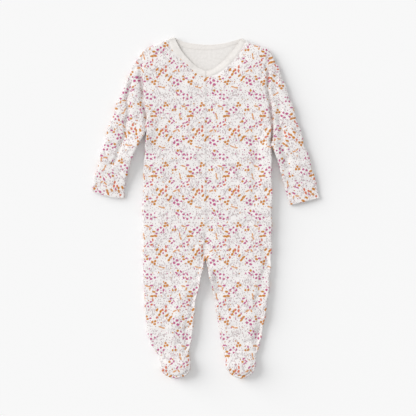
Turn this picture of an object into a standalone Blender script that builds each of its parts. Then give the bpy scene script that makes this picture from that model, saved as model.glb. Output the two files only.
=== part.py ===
"""Footed baby sleepsuit of printed cotton jersey, laid flat on its back. Blender 4.5.

The head end is at +Y, the toes at -Y, the wearer's left at +X, and the back lies on z = 0.
Every panel is a wall of cloth between two long edges, which a short table gives station by
station. Across a row, x runs outwards from the centre front, so that both sides share one
form of table. Tables are in millimetres, and everything made from them is in metres.
"""

import math
from typing import Callable, NamedTuple, Optional

import bmesh
import bpy
import numpy as np

MM = 0.001

CLOTH = 2.5 * MM  # wall of every panel
SEAM_GAP = 0.3 * MM  # between pieces that are sewn together
HALF_GAP = SEAM_GAP / 2
CORNER_WALL = 0.85  # share of the cloth's thickness at a corner between the two kinds of edge
RIM_LIP = 0.05 * MM  # least height of a wall's inside above the cut face beside it
HEEL_GAP = 0.5 * MM  # the heel seam curves more tightly than its facets follow
LOFT = 8.6 * MM  # from the table to the top of the front, two walls and the air between
SIDE_SEAM = 4.3 * MM  # height of the side, shoulder and inner leg seams
FRONT_ROLL = 7 * MM  # how far in the front bends down to those seams
BACK_ROLL = 6 * MM
UNDERLAP_DEPTH = 3.1 * MM  # how far the button stand lies below the front that covers it
UNDERLAP_RISE = 20 * MM  # and how far out it takes to come up again
UNDERLAP_END = -66 * MM
UNDERLAP_FADE = 12 * MM
ARMHOLE_DROP = 0.15  # share of the front's rise that the armhole seam sinks by
EDGE_DROP = 0.05  # the same, for the neck and the centre front
TOE_LOFT = 17.5 * MM
TOE_ROLL = 14 * MM
TOE_SEAM = 7.5 * MM
HEM_BOW = 3 * MM
SHOULDER_SLANT = 1.0  # how much longer the sleeve's outer roll is where its rows run aslant
SLANT_END = 2.4  # station of the sleeve where they run square again
ARMHOLE_REACH = 1.2  # and where its rows no longer follow the armhole
FOLD_HALF_WIDTH = 8 * MM
FOLD_ROOM = 1.5  # least distance of a fold from the roll beside it, in its own half widths
BAND_RADIUS = 3 * MM  # how far in the neck binding's edges turn


def turns(*angles):
    """How far in from a rolled edge the cloth has turned by each angle, as shares of the roll."""
    return tuple(1 - math.cos(math.radians(angle)) for angle in angles)


FINE_TURNS = turns(0, 22.5, 45, 67.5, 90)
PLAIN_TURNS = turns(0, 30, 60, 90)
BAND_TURNS = turns(0, 90)

JERSEY = ("printed_jersey", (0.86, 0.80, 0.78, 1.0), 0.9)
BINDING = ("neck_binding", (0.87, 0.84, 0.80, 1.0), 0.9)


class Station(NamedTuple):
    """One row across a panel, by the places of its two ends."""

    outer_x: float
    outer_y: float
    inner_x: float
    inner_y: float


class Fold(NamedTuple):
    """A point of a long soft fold: its place, and how deep it lies there."""

    y: float
    x: float
    depth: float


class Side(NamedTuple):
    """All that differs between the wearer's right and left, as the garment lies."""

    name: str
    sign: int  # of the world's x
    body: tuple[Station, ...]  # from the shoulder to the ankle
    armhole_end: int  # station of the underarm
    front_corner: int  # station where the neck seam meets the centre front
    crotch: int
    neck_edge: tuple[tuple[float, float], ...]  # free edge of the binding, station by station
    fold: tuple[Fold, ...]
    sleeve: tuple[Station, ...]  # from the armhole to the hem
    sleeve_fold: tuple[tuple[float, float], ...]  # share of the width from the outer edge, depth
    foot: tuple[Station, ...]  # from the ankle to the toe
    heel: tuple[Station, ...]  # from the back of the heel to the ankle
    heel_back: tuple[float, float]
    toe_tip: tuple[float, float]


RIGHT = Side(
    name="right",
    sign=-1,
    body=(
        Station(103.5, 277, 64.5, 293),
        Station(109, 261, 59.5, 277),
        Station(110.5, 240, 50, 264),
        Station(110.5, 218, 34, 251),
        Station(109.5, 197, 18, 235),
        Station(107, 178, 0, 225.5),
        Station(104, 155, 0, 182),
        Station(102, 134, 0, 142),
        Station(105, 105, 0, 108),
        Station(108, 60, 0, 60),
        Station(109, 10, 0, 10),
        Station(109, -35, 0, -35),
        Station(109, -65, 0, -62),
        Station(109, -88, 0, -87),
        Station(108, -125, 7, -118),
        Station(106, -165, 17, -163),
        Station(103, -205, 21, -203),
        Station(98, -228, 23.5, -226),
        Station(91, -243, 27, -242),
        Station(86, -250, 29.5, -251),
    ),
    armhole_end=7,
    front_corner=5,
    crotch=13,
    neck_edge=((54.8, 296.2), (49, 284.5), (41.5, 271.5), (29, 256.5), (14.5, 244), (0, 237)),
    fold=(
        Fold(180, 40, 0),
        Fold(-80, 24, 0),
        Fold(-110, 20, 1.6),
        Fold(-145, 24, 2.4),
        Fold(-180, 33, 2.8),
        Fold(-215, 43, 2.6),
        Fold(-245, 50, 0.8),
    ),
    sleeve=(
        Station(103.5, 277, 102, 134),
        Station(116, 262, 106, 126),
        Station(128, 242, 111, 118),
        Station(138.5, 219, 117, 106.5),
        Station(150, 190, 123, 95),
        Station(162.5, 157, 128.5, 81),
        Station(173, 125, 133, 67),
        Station(183, 90, 137, 52),
        Station(191, 58, 139.5, 35),
        Station(197.9, 30, 141.8, 17),
    ),
    sleeve_fold=((0.42, 0.4), (0.40, 1.6), (0.38, 2.4), (0.38, 2.6), (0.38, 2.6),
                 (0.41, 2.6), (0.45, 2.4), (0.5, 1.8), (0.52, 0.8), (0.52, 0)),
    foot=(
        Station(86, -250, 29.5, -251),
        Station(80.5, -258, 27.5, -259.5),
        Station(79, -267, 25.5, -268),
        Station(78, -276, 25.5, -276.5),
        Station(75.5, -283.5, 27.5, -284),
        Station(70, -290, 33, -290.5),
    ),
    heel=(
        Station(66, -204, 46.5, -204),
        Station(73, -212, 40, -212),
        Station(78, -226, 35.5, -226),
        Station(82, -240, 32.5, -240),
        Station(86, -250, 29.5, -251),
    ),
    heel_back=(56.5, -197.5),
    toe_tip=(52, -296.2),
)

LEFT = Side(
    name="left",
    sign=1,
    body=(
        Station(107.5, 275.5, 70, 290.5),
        Station(107, 256, 64, 276.5),
        Station(107, 234, 54.5, 262.5),
        Station(108.5, 212, 40.5, 247),
        Station(110.5, 190, 20, 232.5),
        Station(114, 170, -1, 226),
        Station(116, 150, -18, 224),
        Station(115.5, 128, -18, 166),
        Station(114, 108, -18, 112),
        Station(115, 75, -18, 75),
        Station(116, 10, -18, 18),
        Station(115.5, -25, -9, -18),
        Station(115.5, -60, 0, -56),
        Station(114.5, -88, 0, -87),
        Station(112.5, -117, 6, -118),
        Station(109.5, -150, 14, -150),
        Station(105, -183, 18.5, -180),
        Station(98.5, -217, 23.5, -212),
        Station(94.5, -235, 27, -233),
        Station(91.5, -248, 31, -248),
    ),
    armhole_end=8,
    front_corner=6,
    crotch=13,
    neck_edge=((62.6, 294.5), (54, 281), (44.5, 269), (31, 255), (14, 242), (-2, 236.5), (-18, 235)),
    fold=(
        Fold(165, 76, 0),
        Fold(110, 79, 1.6),
        Fold(58, 81, 2.4),
        Fold(6, 83, 2.2),
        Fold(-46, 92, 1.4),
        Fold(-90, 95, 2.0),
        Fold(-135, 89, 2.8),
        Fold(-177, 84, 2.8),
        Fold(-212, 81, 2.4),
        Fold(-245, 78, 1.0),
    ),
    sleeve=(
        Station(107.5, 275.5, 114, 108),
        Station(119, 259, 116, 104),
        Station(129, 238, 118.5, 98),
        Station(139, 212, 122, 88.5),
        Station(149, 186, 126, 76.5),
        Station(159, 154.5, 129.5, 64),
        Station(169, 121, 133, 50),
        Station(179, 90, 137.5, 35),
        Station(189, 57, 141.8, 20.5),
        Station(197.9, 17.5, 146.3, 5),
    ),
    sleeve_fold=((0.7, 0.4), (0.68, 1.4), (0.66, 2.2), (0.66, 2.6), (0.68, 2.6),
                 (0.70, 2.6), (0.73, 2.2), (0.76, 1.6), (0.78, 0.6), (0.78, 0)),
    foot=(
        Station(91.5, -248, 31, -248),
        Station(88, -256, 33.3, -257),
        Station(87.5, -266, 34.7, -266),
        Station(86.5, -275, 35, -275),
        Station(84.5, -283, 38, -282.5),
        Station(78, -290, 45, -290),
    ),
    heel=(
        Station(70.5, -202, 51.5, -202),
        Station(77.5, -210, 44.5, -210),
        Station(83, -224, 39.5, -224),
        Station(87, -238, 35.5, -238),
        Station(91.5, -248, 31, -248),
    ),
    heel_back=(61, -195.5),
    toe_tip=(62, -296.2),
)

# The back neck from the right shoulder to the left: x, y of the seam, then of the free edge.
BACK_NECK = (
    Station(-64.5, 293, -54.8, 296.2),
    Station(-48, 284, -41, 289.5),
    Station(-28, 277.5, -26, 286),
    Station(0, 275, 2, 283.3),
    Station(25, 277, 24, 284.8),
    Station(48, 283.5, 43, 288.5),
    Station(70, 290.5, 62.6, 294.5),
)
NECK_CENTRE = 3
NECK_FACETS = (1.0, 1.6, 2.3)  # stations from a shoulder where the seam and the binding turn
NECK_SHARES = (0.66, 0.82)  # width shares of the back's columns at the first two of them


class BackRow(NamedTuple):
    """A row of the back above the crotch: the centre's height, and each side's station."""

    centre_y: float
    right: float
    left: float


# Rows between those that turn at the shoulder and at the underarm, and rows below the underarm.
BACK_CHEST = (BackRow(238, 1.75, 2), BackRow(203, 3.5, 4), BackRow(168, 5.25, 6))
BACK_BELLY = (
    BackRow(108, 7.9, 8.6),
    BackRow(62, 9, 9.3),
    BackRow(12, 10, 10),
    BackRow(-33, 11, 11.1),
    BackRow(-62, 12, 12),
    BackRow(-87, 13, 13),
)
SHOULDER_ROW_Y = 275
CHEST_TOP_Y = 266
CHEST_FOOT_Y = 140
UNDERARM_Y = 132
CHEST_COLUMNS = (3, 12)  # stations between which the back's columns leave those of the neck
LEG_TURN = 0.5  # stations below the crotch over which the back's middle becomes two edges
ANKLE = 5.98  # stations from the crotch to the ankle seam, less the seam's gap
BACK_LEG_ROWS = (0.12, 0.3, 0.6, 1, 1.7, 2.4, 3.2, 4, 4.7, 5.3, ANKLE)
FRONT_LEG_ROWS = (0.4, 1, 1.5, 2, 2.5, 3, 3.5, 4, 4.5, 5, 5.5, ANKLE)
SLEEVE_ROWS = (0, 0.45, 1, 1.6, 2.3, 3, 3.7, 4.4, 5.1, 5.8, 6.5, 7.2, 7.9, 8.5, 9)
FOOT_ROWS = (0.04, 0.5, 1, 1.6, 2.2, 2.9, 3.5, 4.05, 4.5, 4.82, 5)
SOLE_HEEL_ROWS = (0, 0.7, 2, 2.6)  # and then the rows that turn near the ankle, and
SOLE_TOE_ROWS = (4.5, 5, 6, 7, 7.7, 8.2, 8.6, 9)

# Stations of the heel seam where the back and the sole turn, from the outer ankle to the inner.
HEEL_FACETS = (2, 3.3, 4.3, 5, 5.7, 6.7, 8)
HEEL_KNOTS = 10
SOLE_HEEL_END = (4, 4.1, 4.2, 4.3, 4.65, 5, 5.35, 5.7, 5.8, 5.9, 6)  # the sole's own columns there


def unit(vectors):
    """The vectors, each of length one."""
    length = np.linalg.norm(vectors, axis=-1, keepdims=True)
    return vectors / np.where(length > 1e-12, length, 1.0)


def smooth(share):
    """An ease from 0 to 1."""
    share = min(max(share, 0.0), 1.0)
    return share * share * (3 - 2 * share)


class Curve:
    """A smooth plane curve through knots, one station apart, that turns sharply at its corners."""

    def __init__(self, knots, corners=()):
        self.knots = np.array(knots, float) * MM
        step = np.diff(self.knots, axis=0)
        size = np.linalg.norm(step, axis=1)
        self.leave = step.copy()
        self.arrive = step.copy()
        for i in range(1, len(self.knots) - 1):
            if i in corners:
                continue
            turn = unit(self.knots[i + 1] - self.knots[i - 1]) * min(size[i - 1], size[i])
            self.leave[i] = turn
            self.arrive[i - 1] = turn

    def __call__(self, station):
        i = int(min(max(math.floor(station), 0), len(self.knots) - 2))
        t = station - i
        here, there = self.knots[i], self.knots[i + 1]
        return (
            (2 * t**3 - 3 * t**2 + 1) * here
            + (t**3 - 2 * t**2 + t) * self.leave[i]
            + (-2 * t**3 + 3 * t**2) * there
            + (t**3 - t**2) * self.arrive[i]
        )


class Facets:
    """Straight lines between points of a curve, so that pieces sewn along it fit each other."""

    def __init__(self, stations, points):
        self.stations = np.array(stations, float)
        self.points = np.array(points)

    @classmethod
    def of(cls, curve, stations):
        """The lines between a curve's points at these stations."""
        return cls(stations, [curve(station) for station in stations])

    def __call__(self, station):
        return np.array([np.interp(station, self.stations, values) for values in self.points.T])

    def moved(self, distance):
        """The same line, moved to its left in plan."""
        steps = unit(np.diff(self.points, axis=0))
        lefts = np.stack([-steps[:, 1], steps[:, 0]], axis=1)
        before, after = np.vstack([lefts[:1], lefts]), np.vstack([lefts, lefts[-1:]])
        mean = unit(before + after)
        reach = distance / np.sum(mean * before, axis=1, keepdims=True)
        return Facets(self.stations, self.points + mean * reach)


def edges_of(stations, sign, outer_corners=(), inner_corners=()):
    """The outer and inner edge curves of a table of stations, in world coordinates."""
    outer = Curve([(sign * s.outer_x, s.outer_y) for s in stations], outer_corners)
    inner = Curve([(sign * s.inner_x, s.inner_y) for s in stations], inner_corners)
    return outer, inner


def mirrored(points, sign):
    """Table points, given outwards from the centre front, in world coordinates."""
    return [(sign * x, y) for x, y in points]


def moved_in(curve, other, gap=HALF_GAP):
    """An edge curve, moved towards another by half a seam's gap."""
    return lambda station: curve(station) + gap * unit(other(station) - curve(station))


def rise(distance, drop, radius):
    """Height share at a distance from an edge: 1 inside, and 1 - drop on the edge itself."""
    start = math.sqrt(1 - (1 - drop) ** 2)
    return math.sqrt(1 - max(start - distance / radius, 0.0) ** 2)


def constant(value):
    return lambda _: value


class Border(NamedTuple):
    """An edge of a panel: how far its height drops, over what radius, and how its wall is cut.

    A seam that two panels share end to end keeps an upright cut face, turned 0. An edge that
    rolls down to a seam below it is turned 1, so its cut face looks down or up.
    """

    drop: Callable[[float], float]
    turned: Callable[[float], float]
    radius: Callable[[float], float]


def butt(radius=FRONT_ROLL):
    """A border that keeps the panel's height."""
    return Border(constant(0.0), constant(0.0), constant(radius))


def rolled(radius):
    """A border that rolls right down, or up, to its seam."""
    return Border(constant(1.0), constant(1.0), radius if callable(radius) else constant(radius))


class Panel(NamedTuple):
    """A wall of cloth between two edge curves. Its first and last rows may be curves as well."""

    outer: Callable
    inner: Callable
    rows: tuple[float, ...]
    outer_border: Border
    inner_border: Border
    first_border: Border = butt()
    last_border: Border = butt()
    first: Optional[Callable] = None
    last: Optional[Callable] = None
    first_reach: float = 4.0  # stations over which the first row's own curve fades out
    last_reach: float = 2.0
    seam: Callable = constant(SIDE_SEAM + HALF_GAP)
    loft: Callable = lambda place, station: LOFT
    turns: tuple[float, ...] = FINE_TURNS
    across: Optional[Callable] = None  # width shares of the columns between the rolls
    middle: int = 3
    facing: int = 1  # 1 for cloth that faces up, -1 for cloth that lies face down


def plan(panel, share, station):
    """The place of a point in plan, by its share of the width from the outer edge."""
    outer, inner = panel.outer(station), panel.inner(station)
    place = outer + share * (inner - outer)
    start, end = panel.rows[0], panel.rows[-1]
    if panel.first:
        fade = 1 - smooth((station - start) / panel.first_reach)
        straight = panel.outer(start) + share * (panel.inner(start) - panel.outer(start))
        place = place + fade * (panel.first(share) - straight)
    if panel.last:
        fade = 1 - smooth((end - station) / panel.last_reach)
        straight = panel.outer(end) + share * (panel.inner(end) - panel.outer(end))
        place = place + fade * (panel.last(share) - straight)
    return place


def columns(panel, station):
    """The width shares of a row's points: two rolls, and the columns between them."""
    width = np.linalg.norm(panel.inner(station) - panel.outer(station))
    low = [panel.outer_border.radius(station) * turn / width for turn in panel.turns]
    high = [1 - panel.inner_border.radius(station) * turn / width for turn in panel.turns]
    if panel.across:
        between = list(panel.across(station, low[-1], high[-1]))
    else:
        between = list(np.linspace(low[-1], high[-1], panel.middle + 2)[1:-1])
    return low + between + high[::-1]


def height(panel, share, station):
    """The outer face's height."""
    place = plan(panel, share, station)
    level = 1.0
    for border, edge, along in (
        (panel.outer_border, (0, station), station),
        (panel.inner_border, (1, station), station),
        (panel.first_border, (share, panel.rows[0]), share),
        (panel.last_border, (share, panel.rows[-1]), share),
    ):
        reach = np.linalg.norm(place - plan(panel, *edge))
        level *= rise(reach, border.drop(along), border.radius(along))
    seam = panel.seam(station)
    if panel.facing < 0:
        return seam * (1 - level)
    return seam + (panel.loft(place, station) - seam) * level


def outer_face(panel):
    """The grid of points of the panel's outer face."""
    grid = []
    for station in panel.rows:
        row = []
        for share in columns(panel, station):
            x, y = plan(panel, share, station)
            row.append((x, y, height(panel, share, station)))
        grid.append(row)
    return np.array(grid)


def tangents(points, closed=False):
    """Directions along a line of points, each halfway between those of its two neighbours."""
    steps = unit(np.diff(points, axis=0, append=points[:1] if closed else points[-1:]))
    if closed:
        before = np.roll(steps, 1, axis=0)
    else:
        steps[-1] = steps[-2]
        before = np.concatenate([steps[:1], steps[:-1]])
    return unit(steps + before)


def flat(vectors):
    """The vectors laid in plan, each of length one."""
    return unit(vectors * np.array([1.0, 1.0, 0.0]))


def face_normals(grid, facing, closed=False):
    """Directions square to a face at each of its points, on the side that it faces."""
    along = np.array([tangents(grid[:, i]) for i in range(grid.shape[1])]).transpose(1, 0, 2)
    across = np.array([tangents(row, closed) for row in grid])
    normals = unit(np.cross(across, along))
    middle = normals[len(normals) // 2, normals.shape[1] // (4 if closed else 2), 2]
    return normals * (facing * np.sign(middle))


def outwards(line, inside):
    """Horizontal directions out of a panel, square to its border."""
    out = flat(np.cross(tangents(line), [0.0, 0.0, 1.0]))
    return out * np.sign(np.sum(out * flat(line - inside), axis=1, keepdims=True))


def cut_directions(line, out, normals, turned, closed=False):
    """Directions along the cut face of a border, upright or turned on its side."""
    upright = unit(np.cross(tangents(line, closed), out))
    upright *= np.sign(np.sum(upright * normals, axis=1, keepdims=True) + 1e-9)
    turned = np.array(turned, float)[:, None]
    return unit((1 - turned) * upright + turned * out)


def corner_direction(outs, alongs, turned, facing):
    """The direction at a panel's corner, which keeps to the plane of an upright cut."""
    first_turned, second_turned = (value > 0.5 for value in turned)
    if first_turned and second_turned:
        return unit(outs[0] + outs[1])
    if first_turned:
        return CORNER_WALL * alongs[1]
    if second_turned:
        return CORNER_WALL * alongs[0]
    return np.array([0.0, 0.0, float(facing)])


def inner_face(panel, grid):
    """The grid of the wall's other face, one cloth's thickness behind the first."""
    normals = face_normals(grid, panel.facing)
    ends = [columns(panel, panel.rows[0]), columns(panel, panel.rows[-1])]
    turned = {
        "outer": [panel.outer_border.turned(station) for station in panel.rows],
        "inner": [panel.inner_border.turned(station) for station in panel.rows],
        "first": [panel.first_border.turned(share) for share in ends[0]],
        "last": [panel.last_border.turned(share) for share in ends[1]],
    }
    out = {
        "outer": outwards(grid[:, 0], grid[:, 1]),
        "inner": outwards(grid[:, -1], grid[:, -2]),
        "first": outwards(grid[0], grid[1]),
        "last": outwards(grid[-1], grid[-2]),
    }
    for name, place in (
        ("outer", (slice(None), 0)),
        ("inner", (slice(None), -1)),
        ("first", (0, slice(None))),
        ("last", (-1, slice(None))),
    ):
        normals[place] = cut_directions(grid[place], out[name], normals[place], turned[name])
    for row, end in ((0, "first"), (-1, "last")):
        for column, edge in ((0, "outer"), (-1, "inner")):
            along_end = flat(grid[row, column] - grid[row, 1 if column == 0 else -2])
            along_edge = flat(grid[row, column] - grid[1 if row == 0 else -2, column])
            normals[row, column] = corner_direction(
                (out[end][column], out[edge][row]),
                (along_end, along_edge),
                (turned[end][column], turned[edge][row]),
                panel.facing,
            )
    for name, column in (("outer", 0), ("inner", -1)):
        for i in np.flatnonzero(np.diff(turned[name]) > 0.9) + 1:
            step = flat(grid[i, column] - grid[i - 1, column])
            normals[i, column] = unit(step + out[name][i])
    inner = grid - CLOTH * normals
    for row, station in enumerate(panel.rows[1:-1], 1):
        for point in inner[row, 1:-1]:
            if panel.facing > 0:
                lowest = min(panel.seam(station) + RIM_LIP, panel.loft(point[:2], station) - CLOTH)
                point[2] = max(point[2], lowest)
            else:
                point[2] = min(point[2], panel.seam(station) - RIM_LIP)
    return inner


def add_cell(mesh, ring, corner):
    """Adds a grid cell. One at a panel's corner is split from there, so that it never lies flat."""
    if corner is None:
        mesh.faces.new(ring)
        return
    turned = ring[corner:] + ring[:corner]
    mesh.faces.new(turned[:3])
    mesh.faces.new((turned[0], turned[2], turned[3]))


def add_wall(mesh, face, back, closed=False, joined=()):
    """Adds both faces of a wall and its cut faces. joined holds the rows with none at the inner edge."""
    sheets = [[[mesh.verts.new(point) for point in row] for row in grid] for grid in (face, back)]
    last_row, last_column = len(face) - 1, len(face[0]) - 1
    corners = {(0, 0): 0, (0, last_column - 1): 1, (last_row - 1, last_column - 1): 2, (last_row - 1, 0): 3}
    for sheet in sheets:
        for i in range(last_row):
            for j in range(last_column + closed):
                k = (j + 1) % (last_column + 1)
                ring = (sheet[i][j], sheet[i][k], sheet[i + 1][k], sheet[i + 1][j])
                add_cell(mesh, ring, None if closed else corners.get((i, j)))
    front, rear = sheets
    for i in (0, last_row):
        for j in range(last_column + closed):
            k = (j + 1) % (last_column + 1)
            mesh.faces.new((front[i][j], front[i][k], rear[i][k], rear[i][j]))
    if closed:
        return
    for j in (0, last_column):
        for i in range(last_row):
            if j and i in joined:
                continue
            mesh.faces.new((front[i][j], front[i + 1][j], rear[i + 1][j], rear[i][j]))


def finish(name, mesh, material):
    """Makes the mesh an object of the garment, facing out and shaded smooth."""
    bmesh.ops.remove_doubles(mesh, verts=mesh.verts, dist=1e-6)
    bmesh.ops.recalc_face_normals(mesh, faces=mesh.faces)
    data = bpy.data.meshes.new(name)
    mesh.to_mesh(data)
    mesh.free()
    data.shade_smooth()
    data.materials.append(cloth_material(*material))
    piece = bpy.data.objects.new(name, data)
    bpy.data.collections["footed_baby_sleepsuit"].objects.link(piece)
    return piece


def cloth_material(name, colour, roughness):
    """The material of this name, made when it is first asked for."""
    found = bpy.data.materials.get(name)
    if found:
        return found
    made = bpy.data.materials.new(name)
    made.use_nodes = True
    shader = made.node_tree.nodes["Principled BSDF"]
    shader.inputs["Base Color"].default_value = colour
    shader.inputs["Roughness"].default_value = roughness
    shader.inputs["Metallic"].default_value = 0.0
    return made


def build_panel(name, panel, material=JERSEY):
    """Makes an object of a panel's two faces."""
    mesh = bmesh.new()
    face = outer_face(panel)
    add_wall(mesh, face, inner_face(panel, face))
    return finish(name, mesh, material)


def body_edges(side):
    """The outer and inner edges of one side of the body."""
    return edges_of(
        side.body,
        side.sign,
        outer_corners=(side.armhole_end,),
        inner_corners=(side.front_corner, side.crotch),
    )


def armhole_stations(side, middle, turn_shares):
    """Stations of an armhole: the shoulder's roll, the ones between, and the underarm's roll."""
    outer, _ = body_edges(side)
    end = side.armhole_end
    top = np.linalg.norm(outer(1) - outer(0))
    bottom = np.linalg.norm(outer(end) - outer(end - 1))
    shoulder = [turn * FRONT_ROLL / top for turn in turn_shares]
    underarm = [end - turn * FRONT_ROLL / bottom for turn in reversed(turn_shares)]
    return shoulder + list(middle) + underarm


def front_armhole(side):
    """Stations of the armhole on the front, which turns in finer steps."""
    return armhole_stations(side, range(1, side.armhole_end), FINE_TURNS)


def back_armhole(side):
    """Stations of the armhole on the back."""
    middle = [getattr(row, side.name) for row in BACK_CHEST]
    return armhole_stations(side, middle, PLAIN_TURNS)


def faceted_armhole(side, stations):
    """The body's outer edge, in straight lines down to the underarm and smooth below it."""
    outer, _ = body_edges(side)
    armhole = Facets.of(outer, stations)
    return lambda station: armhole(station) if station <= side.armhole_end else outer(station)


def armhole_level(side, station):
    """Height share of the armhole seam: all but flat, and down to the side seam at its end."""
    outer, _ = body_edges(side)
    if station >= side.armhole_end:
        return 0.0
    return rise(np.linalg.norm(outer(station) - outer(side.armhole_end)), 1.0, FRONT_ROLL)


def fold_line(side, y):
    """Where the long fold runs at a height, as x outwards, and how deep it is there."""
    rows = sorted(side.fold)
    heights = [fold.y * MM for fold in rows]
    x = np.interp(y, heights, [fold.x * MM for fold in rows])
    return x, np.interp(y, heights, [fold.depth * MM for fold in rows])


def soft_trough(distance, depth):
    """The drop of a soft fold at a distance from its line."""
    if abs(distance) >= FOLD_HALF_WIDTH:
        return 0.0
    return depth * 0.5 * (1 + math.cos(math.pi * distance / FOLD_HALF_WIDTH))


def front_loft(side):
    """The height of a front's outer face away from its edges. The left one dips under the right."""

    def loft(place, _):
        outwards_by = side.sign * place[0]
        level = LOFT
        if side is LEFT:
            below = 1 - smooth(outwards_by / UNDERLAP_RISE)
            level -= UNDERLAP_DEPTH * below * smooth((place[1] - UNDERLAP_END) / UNDERLAP_FADE)
        x, depth = fold_line(side, place[1])
        return level - soft_trough(outwards_by - x, depth)

    return loft


def fold_columns(side, outer, inner):
    """Columns that keep to the fold, with more of them where the cloth is widest."""

    def across(station, low, high):
        middle = (outer(station) + inner(station)) / 2
        x, _ = fold_line(side, middle[1])
        width = abs(inner(station)[0] - outer(station)[0])
        share = (abs(outer(station)[0]) - x) / width
        half = min(FOLD_HALF_WIDTH / width, (high - low) / 5)
        share = min(max(share, low + FOLD_ROOM * half), high - FOLD_ROOM * half)
        fold = [share - half, share, share + half]
        if side is RIGHT:
            return list(np.linspace(low, fold[0], 5)[1:-1]) + fold
        rest = np.linspace(fold[-1], high, 5)[1:-1]
        centre = outer(station)[0] / width
        button_stand = [(fold[-1] + centre) / 2, centre - UNDERLAP_RISE / width, centre]
        under = smooth((high - centre) * width / (2 * MM))
        return fold + list((1 - under) * rest + under * np.array(button_stand))

    return across


def front_rows(side):
    """Stations of a front's rows down to the ankle, with those of its armhole among them."""
    armhole = front_armhole(side)
    halves = [station + 0.5 for station in range(1, side.armhole_end - 1)]
    below = np.arange(side.armhole_end + 0.5, side.crotch + 0.1, 0.5)
    legs = [side.crotch + row for row in FRONT_LEG_ROWS]
    return tuple(sorted(armhole + halves) + list(below) + legs)


def front(side):
    """A front with its leg: the right one lies over, and the left one reaches under it."""
    outer = faceted_armhole(side, front_armhole(side))
    _, inner = body_edges(side)

    def armhole_drop(station):
        return 1 - (1 - ARMHOLE_DROP) * armhole_level(side, station)

    def inner_drop(station):
        return EDGE_DROP + (1 - EDGE_DROP) * smooth(station - (side.crotch - 1))

    def inner_turned(station):
        return smooth(station - (side.crotch - 1))

    panel = Panel(
        outer=moved_in(outer, inner),
        inner=moved_in(inner, outer),
        rows=front_rows(side),
        outer_border=Border(
            armhole_drop, lambda t: float(t >= side.armhole_end), constant(FRONT_ROLL)
        ),
        inner_border=Border(inner_drop, inner_turned, constant(FRONT_ROLL)),
        first_border=rolled(FRONT_ROLL),
        loft=front_loft(side),
        across=fold_columns(side, outer, inner),
    )
    return build_panel(f"front_{side.name}", panel)


def heel_seam(side):
    """The seam round the back of the sole, from the outer ankle over the heel to the inner one."""
    knots = [(h.outer_x, h.outer_y) for h in reversed(side.heel)]
    knots += [side.heel_back]
    knots += [(h.inner_x, h.inner_y) for h in side.heel]
    curve = Curve(mirrored(knots, side.sign))
    turn = BACK_ROLL / np.linalg.norm(curve(1) - curve(0))
    stations = (0, turn) + HEEL_FACETS + (HEEL_KNOTS - turn, HEEL_KNOTS)
    return Facets.of(curve, stations), turn


def neck_seam(side):
    """The back neck's seam from one shoulder to the centre."""
    start, way = (0, 1) if side is RIGHT else (len(BACK_NECK) - 1, -1)
    curve = Curve([(s.outer_x, s.outer_y) for s in BACK_NECK])
    turn = BACK_ROLL / np.linalg.norm(curve(start + way) - curve(start))
    stations = tuple(turn * share for share in PLAIN_TURNS) + NECK_FACETS + (NECK_CENTRE,)
    return Facets.of(lambda station: curve(start + way * station), stations)


def back_rows(side):
    """The back's rows above the crotch, as pairs of a station and the centre's height."""
    armhole = back_armhole(side)
    turned = len(PLAIN_TURNS)
    top = np.interp(armhole[:turned], (0, armhole[turned - 1]), (SHOULDER_ROW_Y, CHEST_TOP_Y))
    low = np.interp(
        armhole[-turned:], (armhole[-turned], armhole[-1]), (CHEST_FOOT_Y, UNDERARM_Y)
    )
    heights = list(top) + [row.centre_y for row in BACK_CHEST] + list(low)
    rows = list(zip(armhole, heights))
    return rows + [(getattr(row, side.name), row.centre_y) for row in BACK_BELLY]


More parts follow.
